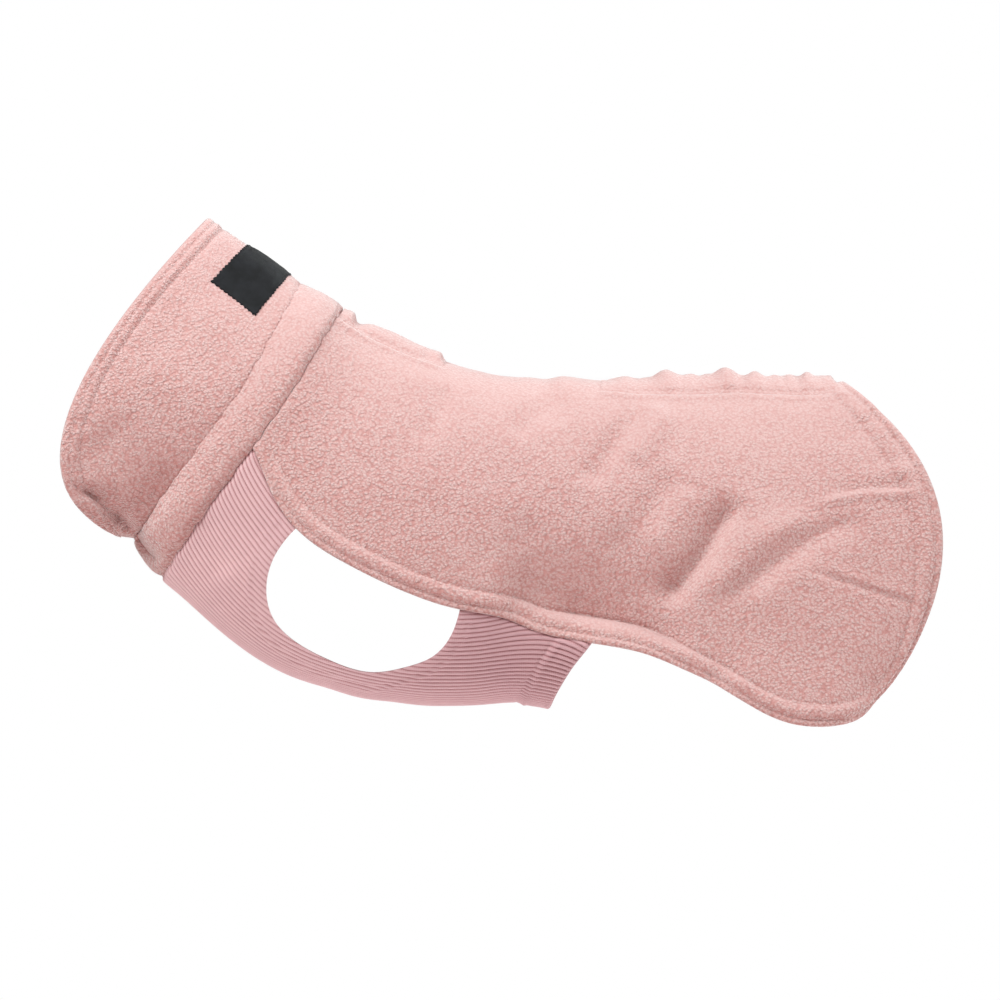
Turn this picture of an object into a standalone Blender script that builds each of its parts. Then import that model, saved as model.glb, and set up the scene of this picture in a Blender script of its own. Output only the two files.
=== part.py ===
"""A dog sweater: a fleece pullover coat with a rib-knit chest panel, in its worn, hollow form.

Run with: blender --background --python part.py
Metres, +Z up. The head points along -X and the tail along +X, and the sweater is symmetric about Y = 0.
The origin is on the inside of the back, on the spine, where the wearer's back holds the sweater up.

The whole garment follows one general form. A place on it has two coordinates: s runs along the body,
by the numbered sections below, and theta runs round it, from 0 at the spine to pi at the belly.
Each half is a wall between an outer and an inner grid of points, mirrored at the plane Y = 0.
"""
import math

import bmesh
import bpy
import numpy as np

MM = 0.001

# Driving sizes, in millimetres.
FLEECE = 2.2            # fleece wall
CASING_WALL = 2.6       # doubled fleece of the neck band
RIB_WALL = 1.8          # rib knit, between two ribs
RIB_PITCH = 2.9
RIB_RISE = 0.75
RIBS_EACH_SIDE = 42
SEAM_GAP = 0.3
FOOT_GAP = 0.5          # from the collar's foot to the neck band, where the cloth turns sharply
LAY_GAP = 0.3           # from a panel to what lies on it
HEM_WIDTH = 14.0
HEM_RISE = 0.9
HEM_EDGE = 1.5          # the hem rises over this width
MOUTH_HEM = 9.5
BELLY_HEM = 18.0
BELLY_HEM_RISE = 0.5
FLAP_CORNER = 36.0      # how far from its corner the flap's edge starts to round
WELT_HALF_WIDTH = 19.0  # the placket and the channel, from the spine
WELT_WALL = 2.4
LABEL_WALL = 0.9
LABEL_FRONT_WIDTH = 44.0        # from the spine to the label's lower edge
LABEL_REAR_WIDTH = 50.5
LABEL_FRONT = (0.379, 0.340)    # s of its edges, at the spine and at its lower edge
LABEL_REAR = (0.850, 0.780)
BAND_PUFF = 5.0
COLLAR_ROLL = 2.2
CRISP_FLEECE_EDGE = 62.0        # degrees between two faces
CRISP_RIB_EDGE = 25.0

# The cross sections, in millimetres, from the collar's mouth to the tail. Seen from the side, a section
# is a curve from its top to its bottom, and its two bows say how far it leaves the straight line there.
# Behind the belly the bottoms lie below the cloth, which ends at the hem line.
# Columns: top x, top z, bottom x, bottom z, high bow x, high bow z, low bow x, low bow z, half width, fullness.
SECTIONS = {
    "mouth": (-183.5, 91.5, -231.5, -82.8, -62.0, -23.0, -75.5, -33.0, 49.0, 0.96),
    "collar_foot": (-131.0, 56.0, -223.5, -87.5, 5.0, 3.5, -2.5, 1.0, 51.0, 0.96),
    "neck_seam": (-108.5, 36.5, -206.5, -104.5, 7.0, 9.5, 9.0, 13.0, 53.0, 0.96),
    "shoulder": (-79.5, 23.5, -183.5, -128.0, 0.0, 0.0, 7.5, 4.5, 58.0, 0.94),
    "elbow": (-49.5, 12.0, -146.0, -155.0, 0.0, 0.0, 0.0, 0.0, 62.0, 0.92),
    "chest": (-19.5, 5.2, -98.0, -171.0, 0.0, 0.0, 0.0, 0.0, 63.5, 0.92),
    "waist": (11.0, 3.3, -46.5, -176.0, 0.0, 0.0, 0.0, 0.0, 61.5, 0.92),
    "belly": (41.0, 0.5, 4.5, -176.5, 0.0, 0.0, 0.0, 0.0, 60.0, 0.92),
    "loin": (74.0, 0.0, 54.0, -208.0, 0.0, 0.0, 0.0, 0.0, 60.5, 0.92),
    "hip": (107.0, 0.0, 104.0, -247.0, 5.0, 0.0, 14.0, 0.0, 62.0, 0.92),
    "rump": (139.0, 0.0, 128.0, -252.0, 29.0, 8.0, 60.0, 6.0, 59.0, 0.92),
    "tail": (167.5, 1.0, 99.0, -250.0, 81.0, 46.0, 152.0, 41.0, 46.0, 0.92),
}
S = {name: float(number) for number, name in enumerate(SECTIONS)}

# Outlines seen from the side, in millimetres: x, z.
HEM_LINE = (  # lower edge of the fleece: side seam, top of the leg opening, belly, flap
    (-167, -17), (-156, -38), (-147.5, -58), (-134, -78), (-107, -97), (-72.5, -113.5), (-44.5, -122.5),
    (-23.5, -127), (-4.5, -135), (15, -140), (36, -143), (55, -146.5), (77.5, -155), (109, -170.5),
    (127, -180.5), (142.5, -185), (158, -185.5), (182, -184),
)
BELLY_LINE = (  # rear edge of the rib knit, from above the fleece edge to the centre of the belly
    (60, -40), (42, -100), (27, -143), (18.5, -154), (12.5, -163.5), (8, -172), (3, -186),
)
LEG_OPENING = (  # edge of the leg opening in the rib knit; its two ends lie above the fleece edge
    (-112, -60), (-133, -78), (-144, -92), (-149, -108), (-145.5, -127), (-134, -139.5), (-116, -149.5),
    (-92, -156.5), (-75, -154), (-58, -147), (-49.5, -137), (-44.5, -123), (-41, -104),
)

# Folds of the cloth, seen from the side, in millimetres. Each is a soft trough, or a ridge where the
# depth is negative, along a curve between its two ends, which leaves the straight line by its bow.
# Columns: start x, start z, end x, end z, bow, depth, width.
FOLDS = {
    "throat": (-258, -53, -207, -96, -1, 4.0, 4.8),
    "under_rump_trough": (74, -114, 113, -62, 3, 4.0, 11.0),
    "rump_ridge": (88, -118, 128, -74, 0, -2.6, 10.0),
    "hip_trough": (100, -112, 160, -68, 5, 3.2, 9.5),
    "loin_trough": (30, -62, 58, -8, 4, 2.2, 10.0),
    "loin_ridge": (50, -76, 76, -22, 4, -1.6, 11.0),
    "flank_trough": (44, -92, 68, -54, 3, 2.0, 11.0),
    "shoulder_dip": (-54, -4, -62, -36, 0, 1.8, 10.0),
    "back_dip": (11, -24, -4, 8, 0, 2.3, 8.0),
}
DARTS = {  # sewn creases in the outer face of each flap
    "upper": (150, -63, 204, -56, 4, 1.5, 2.6),
    "lower": (144, -100, 204, -118, 1, 1.5, 2.6),
}

# The gathers along the spine channel: place of each crest, its rise and its half length, in millimetres.
GATHERS = (
    (46, 1.2, 6.5), (57, 0.6, 4.5), (69, 4.0, 8.0), (83, 1.2, 4.5), (91, 0.8, 3.5), (102, 5.2, 8.5),
    (118, 3.4, 5.5), (129, 1.4, 4.5), (137, 1.6, 4.5), (147, 2.6, 4.0), (155, 0.6, 3.5), (163, 1.6, 5.0),
)
CHANNEL_RISES = ((36, 0.0), (52, 0.3), (66, 1.4), (80, 1.8), (160, 1.8))  # under its gathers
PLACKET_RISES = (  # the placket's rise over its wall along the spine: place, rise
    (-106, 0.0), (-97, 0.2), (-88, 2.4), (-79, 2.5), (-71, 1.5), (-63, 1.2), (-54, 1.7), (-48, 1.5),
)

COLOURS = {  # red, green, blue, roughness
    "fleece": (0.755, 0.450, 0.415, 0.95),
    "rib_knit": (0.640, 0.350, 0.360, 0.90),
    "label": (0.020, 0.020, 0.024, 0.80),
}


def natural_spline(knots, values):
    """A smooth curve through the values at the knots, as a function of arrays."""
    knots, values = np.asarray(knots, float), np.asarray(values, float)
    count, steps = len(knots), np.diff(knots)
    system, right = np.eye(count), np.zeros_like(values)
    slopes = np.diff(values, axis=0) / steps[:, None]
    for i in range(1, count - 1):
        system[i, i - 1:i + 2] = steps[i - 1], 2 * (steps[i - 1] + steps[i]), steps[i]
        right[i] = 6 * (slopes[i] - slopes[i - 1])
    bends = np.linalg.solve(system, right)

    def curve(x):
        x = np.asarray(x, float)
        i = np.clip(np.searchsorted(knots, x, side="right") - 1, 0, count - 2)
        a, b = (knots[i + 1] - x) / steps[i], (x - knots[i]) / steps[i]
        straight = a[..., None] * values[i] + b[..., None] * values[i + 1]
        bend = (a**3 - a)[..., None] * bends[i] + (b**3 - b)[..., None] * bends[i + 1]
        return straight + bend * (steps[i] ** 2)[..., None] / 6

    return curve


def outline(points, count=240):
    """Many points along the smooth curve through a few."""
    points = np.asarray(points, float)
    lengths = np.r_[0, np.cumsum(np.linalg.norm(np.diff(points, axis=0), axis=1))]
    return natural_spline(lengths, points)(np.linspace(0, lengths[-1], count))


section_at = natural_spline(range(len(SECTIONS)), list(SECTIONS.values()))
hem_line = outline(HEM_LINE)
belly_line = outline(BELLY_LINE)


def form(s, theta):
    """Points of the general form: each section is a Bezier curve from the side, and rounds like an ellipse."""
    s, theta = np.broadcast_arrays(np.asarray(s, float), np.asarray(theta, float))
    row = section_at(s)
    top, bottom = row[..., 0:2], row[..., 2:4]
    high = top + (bottom - top) / 3 + row[..., 4:6]
    low = top + (bottom - top) * 2 / 3 + row[..., 6:8]
    h = ((1 - np.cos(theta)) / 2)[..., None]
    side = (1 - h) ** 3 * top + 3 * h * (1 - h) ** 2 * high + 3 * h * h * (1 - h) * low + h**3 * bottom
    turn = np.sin(theta)
    half_width, fullness = row[..., 8], row[..., 9]
    y = -half_width * np.sign(turn) * np.abs(turn) ** fullness
    return np.stack([side[..., 0], y, side[..., 1]], axis=-1)


def outward(surface, s, theta):
    """Unit normals of a surface, from its two directions."""
    step = 0.02
    along = surface(s + step, theta) - surface(s - step, theta)
    round_it = surface(s, theta + step) - surface(s, theta - step)
    normal = np.cross(round_it, along)
    return normal / np.linalg.norm(normal, axis=-1, keepdims=True)


def smooth_step(x):
    x = np.clip(x, 0, 1)
    return x * x * (3 - 2 * x)


def crease(x, z, table):
    """How deep the creases of a table reach at places seen from the side."""
    depth_there = np.zeros(np.shape(x))
    for x0, z0, x1, z1, bow, depth, width in table.values():
        length = math.hypot(x1 - x0, z1 - z0)
        ux, uz = (x1 - x0) / length, (z1 - z0) / length
        along = ((x - x0) * ux + (z - z0) * uz) / length
        across = (z - z0) * ux - (x - x0) * uz - bow * 4 * along * (1 - along)
        ends = smooth_step((along + 0.12) / 0.3) * smooth_step((1.12 - along) / 0.3)
        depth_there += depth * ends * np.exp(-((across / width) ** 2))
    return depth_there


def collar_swell(s):
    """How far the collar's foot rolls out over the neck band."""
    return COLLAR_ROLL * smooth_step((s - S["collar_foot"] + 0.3) / 0.3)


def band_swell(s):
    """How far the neck band puffs out between its two seams."""
    across = (s - S["collar_foot"]) / (S["neck_seam"] - S["collar_foot"])
    return BAND_PUFF * np.sin(math.pi * np.clip(across, 0, 1)) ** 0.8


def no_swell(s):
    return np.zeros(s.shape)


def skin(s, theta, lift, swell=no_swell):
    """Points at a height over the cloth's outer face; the inner face has a negative lift.

    The cloth is the form with its folds and its swell, which both faces of a wall follow.
    """
    def cloth(s, theta):
        points = form(s, theta)
        moved = swell(s) - crease(points[..., 0], points[..., 2], FOLDS)
        return points + outward(form, s, theta) * moved[..., None]

    s, theta = np.broadcast_arrays(np.asarray(s, float), np.asarray(theta, float))
    lift = np.broadcast_to(lift, s.shape)
    return cloth(s, theta) + outward(cloth, s, theta) * lift[..., None]


def crossing(line, curve):
    """Where a line of points first crosses a curve, as a fractional index of the line."""
    a, b = line[:-1, None], line[1:, None]
    c, d = curve[None, :-1], curve[None, 1:]
    ab, cd, ac = b - a, d - c, c - a
    cross = ab[..., 0] * cd[..., 1] - ab[..., 1] * cd[..., 0]
    cross = np.where(np.abs(cross) < 1e-12, 1e-12, cross)
    t = (ac[..., 0] * cd[..., 1] - ac[..., 1] * cd[..., 0]) / cross
    u = (ac[..., 0] * ab[..., 1] - ac[..., 1] * ab[..., 0]) / cross
    hits = np.argwhere((t >= 0) & (t <= 1) & (u >= 0) & (u <= 1))
    first = hits[0]
    return first[0] + t[first[0], first[1]]


THETAS = np.linspace(0, math.pi, 361)
TABLE_S = np.linspace(0.0, S["tail"], 177)


def arc_table():
    """Lengths round the sections from the spine, at each of THETAS, a row for each of TABLE_S."""
    points = form(TABLE_S[:, None], THETAS[None])
    steps = np.linalg.norm(np.diff(points, axis=1), axis=-1)
    return np.concatenate([np.zeros((len(TABLE_S), 1)), np.cumsum(steps, axis=1)], axis=1)


ARCS = arc_table()


def arcs(s):
    """Lengths round one section from the spine, at each of THETAS."""
    place = np.clip(s, 0, S["tail"]) / S["tail"] * (len(TABLE_S) - 1)
    row = min(int(place), len(TABLE_S) - 2)
    return ARCS[row] + (ARCS[row + 1] - ARCS[row]) * (place - row)


def theta_at(s, arc):
    """theta at a length round the body from the spine."""
    s, arc = np.broadcast_arrays(np.asarray(s, float), np.asarray(arc, float))
    found = [np.interp(length, arcs(place), THETAS) for place, length in zip(s.flat, arc.flat)]
    return np.array(found).reshape(s.shape)


def hem_arcs():
    """How far round from the spine the fleece ends, a value for each of TABLE_S behind the neck seam."""
    found = []
    for s, lengths in zip(TABLE_S, ARCS):
        if s < S["neck_seam"]:
            found.append(0.0)
            continue
        line = form(np.full(THETAS.shape, s), THETAS)[:, [0, 2]]
        found.append(np.interp(crossing(line, hem_line), np.arange(len(THETAS)), lengths))
    return np.array(found)


HEM_ARCS = hem_arcs()


def hem_arc(s):
    return np.interp(s, TABLE_S, HEM_ARCS)


def shifted(s, theta, distance):
    """s, moved along the body by a distance in millimetres."""
    s, theta = np.broadcast_arrays(np.asarray(s, float), np.asarray(theta, float))
    rate = np.linalg.norm(form(s + 0.01, theta) - form(s - 0.01, theta), axis=-1) / 0.02
    return s + distance / rate


def coarse(count, step):
    """Every step-th index, and always the last."""
    picked = list(range(0, count, step))
    return picked if picked[-1] == count - 1 else picked + [count - 1]


def stitch(mesh, fine, rough):
    """Faces between two rows of vertices with the same ends but unlike counts."""
    i = j = 0
    while i < len(fine) - 1 or j < len(rough) - 1:
        fine_next = (i + 1) / (len(fine) - 1) if i < len(fine) - 1 else 2.0
        rough_next = (j + 1) / (len(rough) - 1) if j < len(rough) - 1 else 2.0
        if abs(fine_next - rough_next) < 1e-9:
            mesh.faces.new((fine[i], fine[i + 1], rough[j + 1], rough[j]))
            i, j = i + 1, j + 1
        elif fine_next < rough_next:
            mesh.faces.new((fine[i], fine[i + 1], rough[j]))
            i += 1
        else:
            mesh.faces.new((fine[i], rough[j + 1], rough[j]))
            j += 1


def material(name):
    red, green, blue, roughness = COLOURS[name]
    made = bpy.data.materials.get(name) or bpy.data.materials.new(name)
    made.use_nodes = True
    shader = made.node_tree.nodes["Principled BSDF"]
    shader.inputs["Base Color"].default_value = (red, green, blue, 1.0)
    shader.inputs["Roughness"].default_value = roughness
    shader.inputs["Metallic"].default_value = 0.0
    return made


def collection(name):
    made = bpy.data.collections.new(name)
    bpy.context.scene.collection.children.link(made)
    return made


def wall(name, outer, inner, open_last_column, kind, into):
    """A wall between an outer and an inner grid of points, rows along s and columns round the body.

    Its first column lies on the mirror plane, and so does its last one where open_last_column says so.
    """
    mesh = bmesh.new()
    out = [[mesh.verts.new(point * MM) for point in row] for row in outer]
    ins = [[mesh.verts.new(point * MM) for point in row] for row in inner]
    for rows, flip in ((out, False), (ins, True)):
        for near, far in zip(rows[:-1], rows[1:]):
            for k in range(len(near) - 1):
                corners = (near[k], near[k + 1], far[k + 1], far[k])
                mesh.faces.new(corners[::-1] if flip else corners)
    stitch(mesh, out[0][::-1], ins[0][::-1])
    stitch(mesh, out[-1], ins[-1])
    if not open_last_column:
        stitch(mesh, [row[-1] for row in out][::-1], [row[-1] for row in ins][::-1])
    data = bpy.data.meshes.new(name)
    mesh.to_mesh(data)
    mesh.free()
    data.materials.append(material(kind))
    data.shade_smooth()
    crisp = CRISP_RIB_EDGE if kind == "rib_knit" else CRISP_FLEECE_EDGE
    data.set_sharp_from_angle(angle=math.radians(crisp))
    made = bpy.data.objects.new(name, data)
    into.objects.link(made)
    mirror = made.modifiers.new("both_sides", "MIRROR")
    mirror.use_axis = (False, True, False)
    mirror.merge_threshold = 0.0001
    return made


def tube_wall(name, rows, columns, lift, thickness, swell, into):
    """A closed tube of cloth: rows are arrays of s for each column, as far apart round the body as along."""
    grid_theta = np.array([theta_at(s, np.linspace(0, 1, columns) * arcs(s)[-1]) for s, _ in rows])
    grid_s = np.array([shifted(s, theta, move) for (s, move), theta in zip(rows, grid_theta)])
    grid_theta[:, 0], grid_theta[:, -1] = 0.0, math.pi
    outer = skin(grid_s, grid_theta, lift(grid_s, grid_theta), swell)
    inner = skin(grid_s, grid_theta, -thickness, swell)
    picked_rows, picked_columns = coarse(len(rows), 2), coarse(columns, 2)
    inner = inner[np.ix_(picked_rows, picked_columns)]
    for grid in (outer, inner):
        grid[:, [0, -1], 1] = 0.0
    return wall(name, outer, inner, True, "fleece", into)


def mouth_distance(s, theta):
    """How far a place lies from the collar's mouth."""
    from_mouth = form(s, theta) - form(np.zeros_like(s), theta)
    return np.linalg.norm(from_mouth, axis=-1)


def collar_lift(s, theta):
    """The mouth hem's rise."""
    return HEM_RISE * smooth_step((MOUTH_HEM - mouth_distance(s, theta)) / HEM_EDGE)


COLLAR_COLUMNS = 37
COLLAR_ROWS = (0.04, 0.1, 0.16, 0.2, 0.29, 0.37, 0.45, 0.53, 0.61, 0.69, 0.76, 0.83, 0.91)


def make_collar(into):
    rows = [(s, 0.0) for s in (S["mouth"], *COLLAR_ROWS)] + [(S["collar_foot"], -FOOT_GAP / 2)]
    return tube_wall("collar", rows, COLLAR_COLUMNS, collar_lift, FLEECE, collar_swell, into)


def make_neck_band(into):
    first, last = S["collar_foot"], S["neck_seam"]
    rows = [(first, FOOT_GAP / 2)] + [(s, 0.0) for s in np.linspace(first, last, 8)[1:-1]]
    rows += [(last, -SEAM_GAP / 2)]
    return tube_wall("neck_band", rows, COLLAR_COLUMNS, lambda s, theta: 0.0, CASING_WALL, band_swell, into)


REAR_SPACING = 29.0     # millimetres from section to section at the rear edge
PANEL_ROWS = np.r_[
    np.arange(S["neck_seam"], S["rump"] + 0.3, 0.25),
    S["tail"] - np.array([HEM_WIDTH, HEM_WIDTH - HEM_EDGE, HEM_WIDTH / 2, 0.0]) / REAR_SPACING,
]
WELT_ARCS = np.linspace(0, WELT_HALF_WIDTH, 4)
PANEL_MIDDLE = 26


def round_corner(s, above_hem):
    """Draws the flap's square corner in to a round one, as a square maps to a disc."""
    from_rear = (S["tail"] - s) * REAR_SPACING
    u = np.clip(1 - from_rear / FLAP_CORNER, 0, 1)
    v = np.clip(1 - above_hem / FLAP_CORNER, 0, 1)
    u_round, v_round = u * np.sqrt(1 - v * v / 2), v * np.sqrt(1 - u * u / 2)
    s = s + (u_round - u) * FLAP_CORNER / REAR_SPACING
    return s, above_hem + (v - v_round) * FLAP_CORNER


def panel_grid(beyond_hem=0.0):
    """s and theta of the back panel's points: the welt, the middle and the hem."""
    s_rows, theta_rows = [], []
    for row, s in enumerate(PANEL_ROWS):
        end = hem_arc(s)
        middle = np.linspace(WELT_HALF_WIDTH, end - HEM_WIDTH, PANEL_MIDDLE)[1:]
        hem = end - np.array([HEM_WIDTH - HEM_EDGE, HEM_WIDTH / 2, 0.0])
        above_hem = end - np.r_[WELT_ARCS, middle, hem]
        s_row, above_hem = round_corner(np.full(above_hem.shape, s), above_hem)
        above_hem[-1] -= beyond_hem
        theta = theta_at(s_row, hem_arc(s_row) - above_hem)
        s_rows.append(shifted(s_row, theta, SEAM_GAP / 2 if row == 0 else 0.0))
        theta_rows.append(theta)
    return np.array(s_rows), np.array(theta_rows)


def panel_lift(s, theta):
    """The hem's rise along the lower and rear edges, and the darts sunk in the outer face."""
    rise = np.zeros(s.shape)
    rise[:, -3:] = HEM_RISE
    rise[-3:, :] = HEM_RISE
    rise[PANEL_ROWS < S["neck_seam"] + 0.75, :] = 0.0
    points = form(s, theta)
    return rise - crease(points[..., 0], points[..., 2], DARTS)


def make_back_panel(into):
    s, theta = panel_grid()
    outer = skin(s, theta, panel_lift(s, theta))
    inner = skin(s, theta, -FLEECE)[:, coarse(s.shape[1], 3)]
    for grid in (outer, inner):
        grid[:, 0, 1] = 0.0
    return wall("back_panel", outer, inner, False, "fleece", into)


def welt_grid(first, last):
    """The back panel's own points along the spine, between two of its rows."""
    s, theta = panel_grid()
    picked = (PANEL_ROWS > first - 1e-6) & (PANEL_ROWS < last + 1e-6)
    return s[picked, :len(WELT_ARCS)], theta[picked, :len(WELT_ARCS)]


def between_rows(grid):
    """A grid with a row added halfway between each two."""
    halfway = (grid[1:] + grid[:-1]) / 2
    made = np.empty((len(grid) + len(halfway),) + grid.shape[1:])
    made[0::2], made[1::2] = grid, halfway
    return made


def crown(theta_index):
    """The welt is highest at the spine and thin at its seam."""
    return np.sqrt(1 - 0.85 * (theta_index / (len(WELT_ARCS) - 1)) ** 2)


def welt(name, s, theta, rise, into):
    """A strip that lies on the back panel along the spine."""
    columns = np.arange(len(WELT_ARCS))
    base = panel_lift_at_spine(s)
    inner = skin(s, theta, base + LAY_GAP)
    fine_s, fine_theta = between_rows(s), between_rows(theta)
    thick = WELT_WALL + rise(fine_s, fine_theta) * crown(columns)
    outer = skin(fine_s, fine_theta, panel_lift_at_spine(fine_s) + LAY_GAP + thick)
    for grid in (outer, inner):
        grid[:, 0, 1] = 0.0
    return wall(name, outer, inner, False, "fleece", into)


def panel_lift_at_spine(s):
    """The back panel's rise under a welt."""
    rear = S["tail"] - HEM_WIDTH / REAR_SPACING
    return np.where(s > rear - 0.3, HEM_RISE, 0.0)


def placket_rise(s, theta):
    return np.interp(form(s, np.zeros_like(theta))[..., 0], *zip(*PLACKET_RISES))


def gather_rise(s, theta):
    """The channel's humps, which are uneven as elastic gathers them."""
    x = form(s, np.zeros_like(theta))[..., 0]
    rise = np.interp(x, *zip(*CHANNEL_RISES))
    for centre, height, half_length in GATHERS:
        rise += height * np.exp(-(((x - centre) / half_length) ** 2) * 1.6)
    return rise


def make_leash_placket(into):
    s, theta = welt_grid(S["neck_seam"], S["elbow"] - 0.1)
    return welt("leash_placket", s, theta, placket_rise, into)


def make_spine_channel(into):
    s, theta = welt_grid(S["belly"] - 0.05, S["tail"] - 0.1)
    return welt("spine_channel", s, theta, gather_rise, into)


def rib_grid():
    """s, theta and the distance from the rear edge of the rib panel's points, from the belly up.

    There is a column on each rib and on each furrow, all at the same spacing round the body.
    """
    columns = np.arange(2 * RIBS_EACH_SIDE + 1) * RIB_PITCH / 2
    probe = np.linspace(S["elbow"], S["hip"], 81)
    belly_arc = np.array([arcs(s)[-1] for s in probe])
    ends = []
    for column in columns:
        line = form(probe, theta_at(probe, belly_arc - column))[:, [0, 2]]
        ends.append(np.interp(crossing(line, belly_line), np.arange(len(probe)), probe))
    first = S["neck_seam"]
    along = np.r_[np.linspace(0, 0.905, 15), 0.92, 0.928, 1.0]
    s = first + along[:, None] * (np.array(ends) - first)[None]
    round_body = np.array([[arcs(place)[-1] for place in row] for row in s])
    theta = theta_at(s, round_body - columns)
    s[0] = shifted(s[0], theta[0], SEAM_GAP / 2)
    from_edge = np.linalg.norm(form(s, theta) - form(s[-1], theta[-1]), axis=-1)
    return s, theta, from_edge


def make_chest_panel(into, cutters):
    s, theta, from_edge = rib_grid()
    ribs = np.where(np.arange(s.shape[1]) % 2 == 1, RIB_RISE, 0.0)
    hem = BELLY_HEM_RISE * (from_edge < BELLY_HEM)
    outer = skin(s, theta, ribs + hem)
    inner = skin(s, theta, -RIB_WALL)[np.ix_(coarse(s.shape[0], 2), coarse(s.shape[1], 4))]
    for grid in (outer, inner):
        grid[:, 0, 1] = 0.0
    made = belly_wall("chest_panel", outer, inner, into)
    for cutter in (fleece_cutter(cutters), leg_cutter(cutters)):
        cut = made.modifiers.new(cutter.name, "BOOLEAN")
        cut.operation = "DIFFERENCE"
        cut.solver = "EXACT"
        cut.object = cutter
    return made


def belly_wall(name, outer, inner, into):
    """The rib panel's columns start at the belly, so its faces run the other way round."""
    made = wall(name, outer, inner, False, "rib_knit", into)
    made.data.flip_normals()
    return made


def fleece_cutter(into):
    """Takes away the rib panel's cloth above the fleece edge, as far as the seam gap."""
    s, theta = panel_grid(SEAM_GAP * 1.15)
    picked = PANEL_ROWS < S["hip"]
    s, theta = s[picked], theta[picked]
    s, theta = np.vstack([s[:1] - 0.3, s]), np.vstack([theta[:1], theta])
    outer, inner = skin(s, theta, 6.0), skin(s, theta, -7.0)
    for grid in (outer, inner):
        grid[:, 0, 1] = 0.0
    made = wall("above_fleece_edge", outer, inner, False, "fleece", into)
    hide_cutter(made)
    return made


def leg_cutter(into):
    """A prism across the body with the outline of the leg opening."""
    mesh = bmesh.new()
    reach = 90.0
    corners = [mesh.verts.new((x * MM, -reach * MM, z * MM)) for x, z in outline(LEG_OPENING, 46)]
    face = mesh.faces.new(corners)
    moved = bmesh.ops.extrude_face_region(mesh, geom=[face])["geom"]
    ends = [item for item in moved if isinstance(item, bmesh.types.BMVert)]
    bmesh.ops.translate(mesh, vec=(0, 2 * reach * MM, 0), verts=ends)
    bmesh.ops.recalc_face_normals(mesh, faces=mesh.faces)
    data = bpy.data.meshes.new("leg_openings")
    mesh.to_mesh(data)
    mesh.free()
    made = bpy.data.objects.new("leg_openings", data)
    into.objects.link(made)
    hide_cutter(made)
    return made


def hide_cutter(cutter):
    cutter.hide_render = True
    cutter.display_type = "WIRE"


def make_label(into):
    """The label lies over the collar at the nape, moved out from the collar's face."""
    along, round_it = np.meshgrid(np.linspace(0, 1, 8), np.linspace(0, 1, 13), indexing="ij")
    front = LABEL_FRONT[0] + (LABEL_FRONT[1] - LABEL_FRONT[0]) * round_it
    rear = LABEL_REAR[0] + (LABEL_REAR[1] - LABEL_REAR[0]) * round_it
    s = front + (rear - front) * along
    theta = theta_at(s, round_it * (LABEL_FRONT_WIDTH + (LABEL_REAR_WIDTH - LABEL_FRONT_WIDTH) * along))
    inner = skin(s, theta, LAY_GAP, collar_swell)
    outer = skin(s, theta, LAY_GAP + LABEL_WALL, collar_swell)
    for grid in (outer, inner):
        grid[:, 0, 1] = 0.0
    return wall("label", outer, inner, False, "label", into)


def main():
    for old in list(bpy.data.objects):
        bpy.data.objects.remove(old, do_unlink=True)
    pieces = collection("dog_sweater")
    cutters = collection("cutters")
    make_collar(pieces)
    make_neck_band(pieces)
    make_back_panel(pieces)
    make_leash_placket(pieces)
    make_spine_channel(pieces)
    make_chest_panel(pieces, cutters)
    make_label(pieces)


main()
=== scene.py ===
"""Looks for the dog sweater: fleece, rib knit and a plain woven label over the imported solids.

The garment follows one general form, as its solids do. A place on it has two coordinates: s runs along
the body, by the numbered sections below, and theta runs round it, from 0 at the spine to pi at the belly,
positive on the dog's left and negative on its right. Sizes are in millimetres until a mesh is made.
"""
import math

import bmesh
import bpy
import numpy as np
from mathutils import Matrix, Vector, noise


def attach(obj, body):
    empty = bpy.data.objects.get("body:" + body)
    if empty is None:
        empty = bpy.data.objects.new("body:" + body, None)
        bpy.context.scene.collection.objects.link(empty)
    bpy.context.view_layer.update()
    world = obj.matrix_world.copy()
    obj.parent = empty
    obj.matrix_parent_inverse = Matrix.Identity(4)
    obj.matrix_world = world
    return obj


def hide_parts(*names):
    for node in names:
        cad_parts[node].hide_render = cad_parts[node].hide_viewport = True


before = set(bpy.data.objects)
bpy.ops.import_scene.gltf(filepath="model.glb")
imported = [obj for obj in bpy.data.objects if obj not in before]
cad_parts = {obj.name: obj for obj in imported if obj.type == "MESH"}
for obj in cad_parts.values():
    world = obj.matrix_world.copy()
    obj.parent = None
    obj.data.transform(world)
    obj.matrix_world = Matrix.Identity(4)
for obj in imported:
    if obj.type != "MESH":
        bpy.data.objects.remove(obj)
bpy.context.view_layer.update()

MM = 0.001

# Driving sizes, as in the solids.
FLEECE = 2.2
CASING_WALL = 2.6
RIB_WALL = 1.8
RIB_PITCH = 2.9
RIBS_EACH_SIDE = 42
BELLY_HEM = 18.0
FLAP_CORNER = 38.0
REAR_SPACING = 29.0
LABEL_WIDTHS = (44.0, 50.5)     # from the spine, at the front edge and the rear one
LABEL_FRONT = (0.379, 0.340)    # s at the spine and at the ends
LABEL_REAR = (0.850, 0.780)
LABEL_DEPTH = 30.0              # along the collar
COLLAR_LENGTH = 63.0            # on the spine
SECTION_LENGTH = 30.0           # about as long as a step of 1 in s

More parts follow.
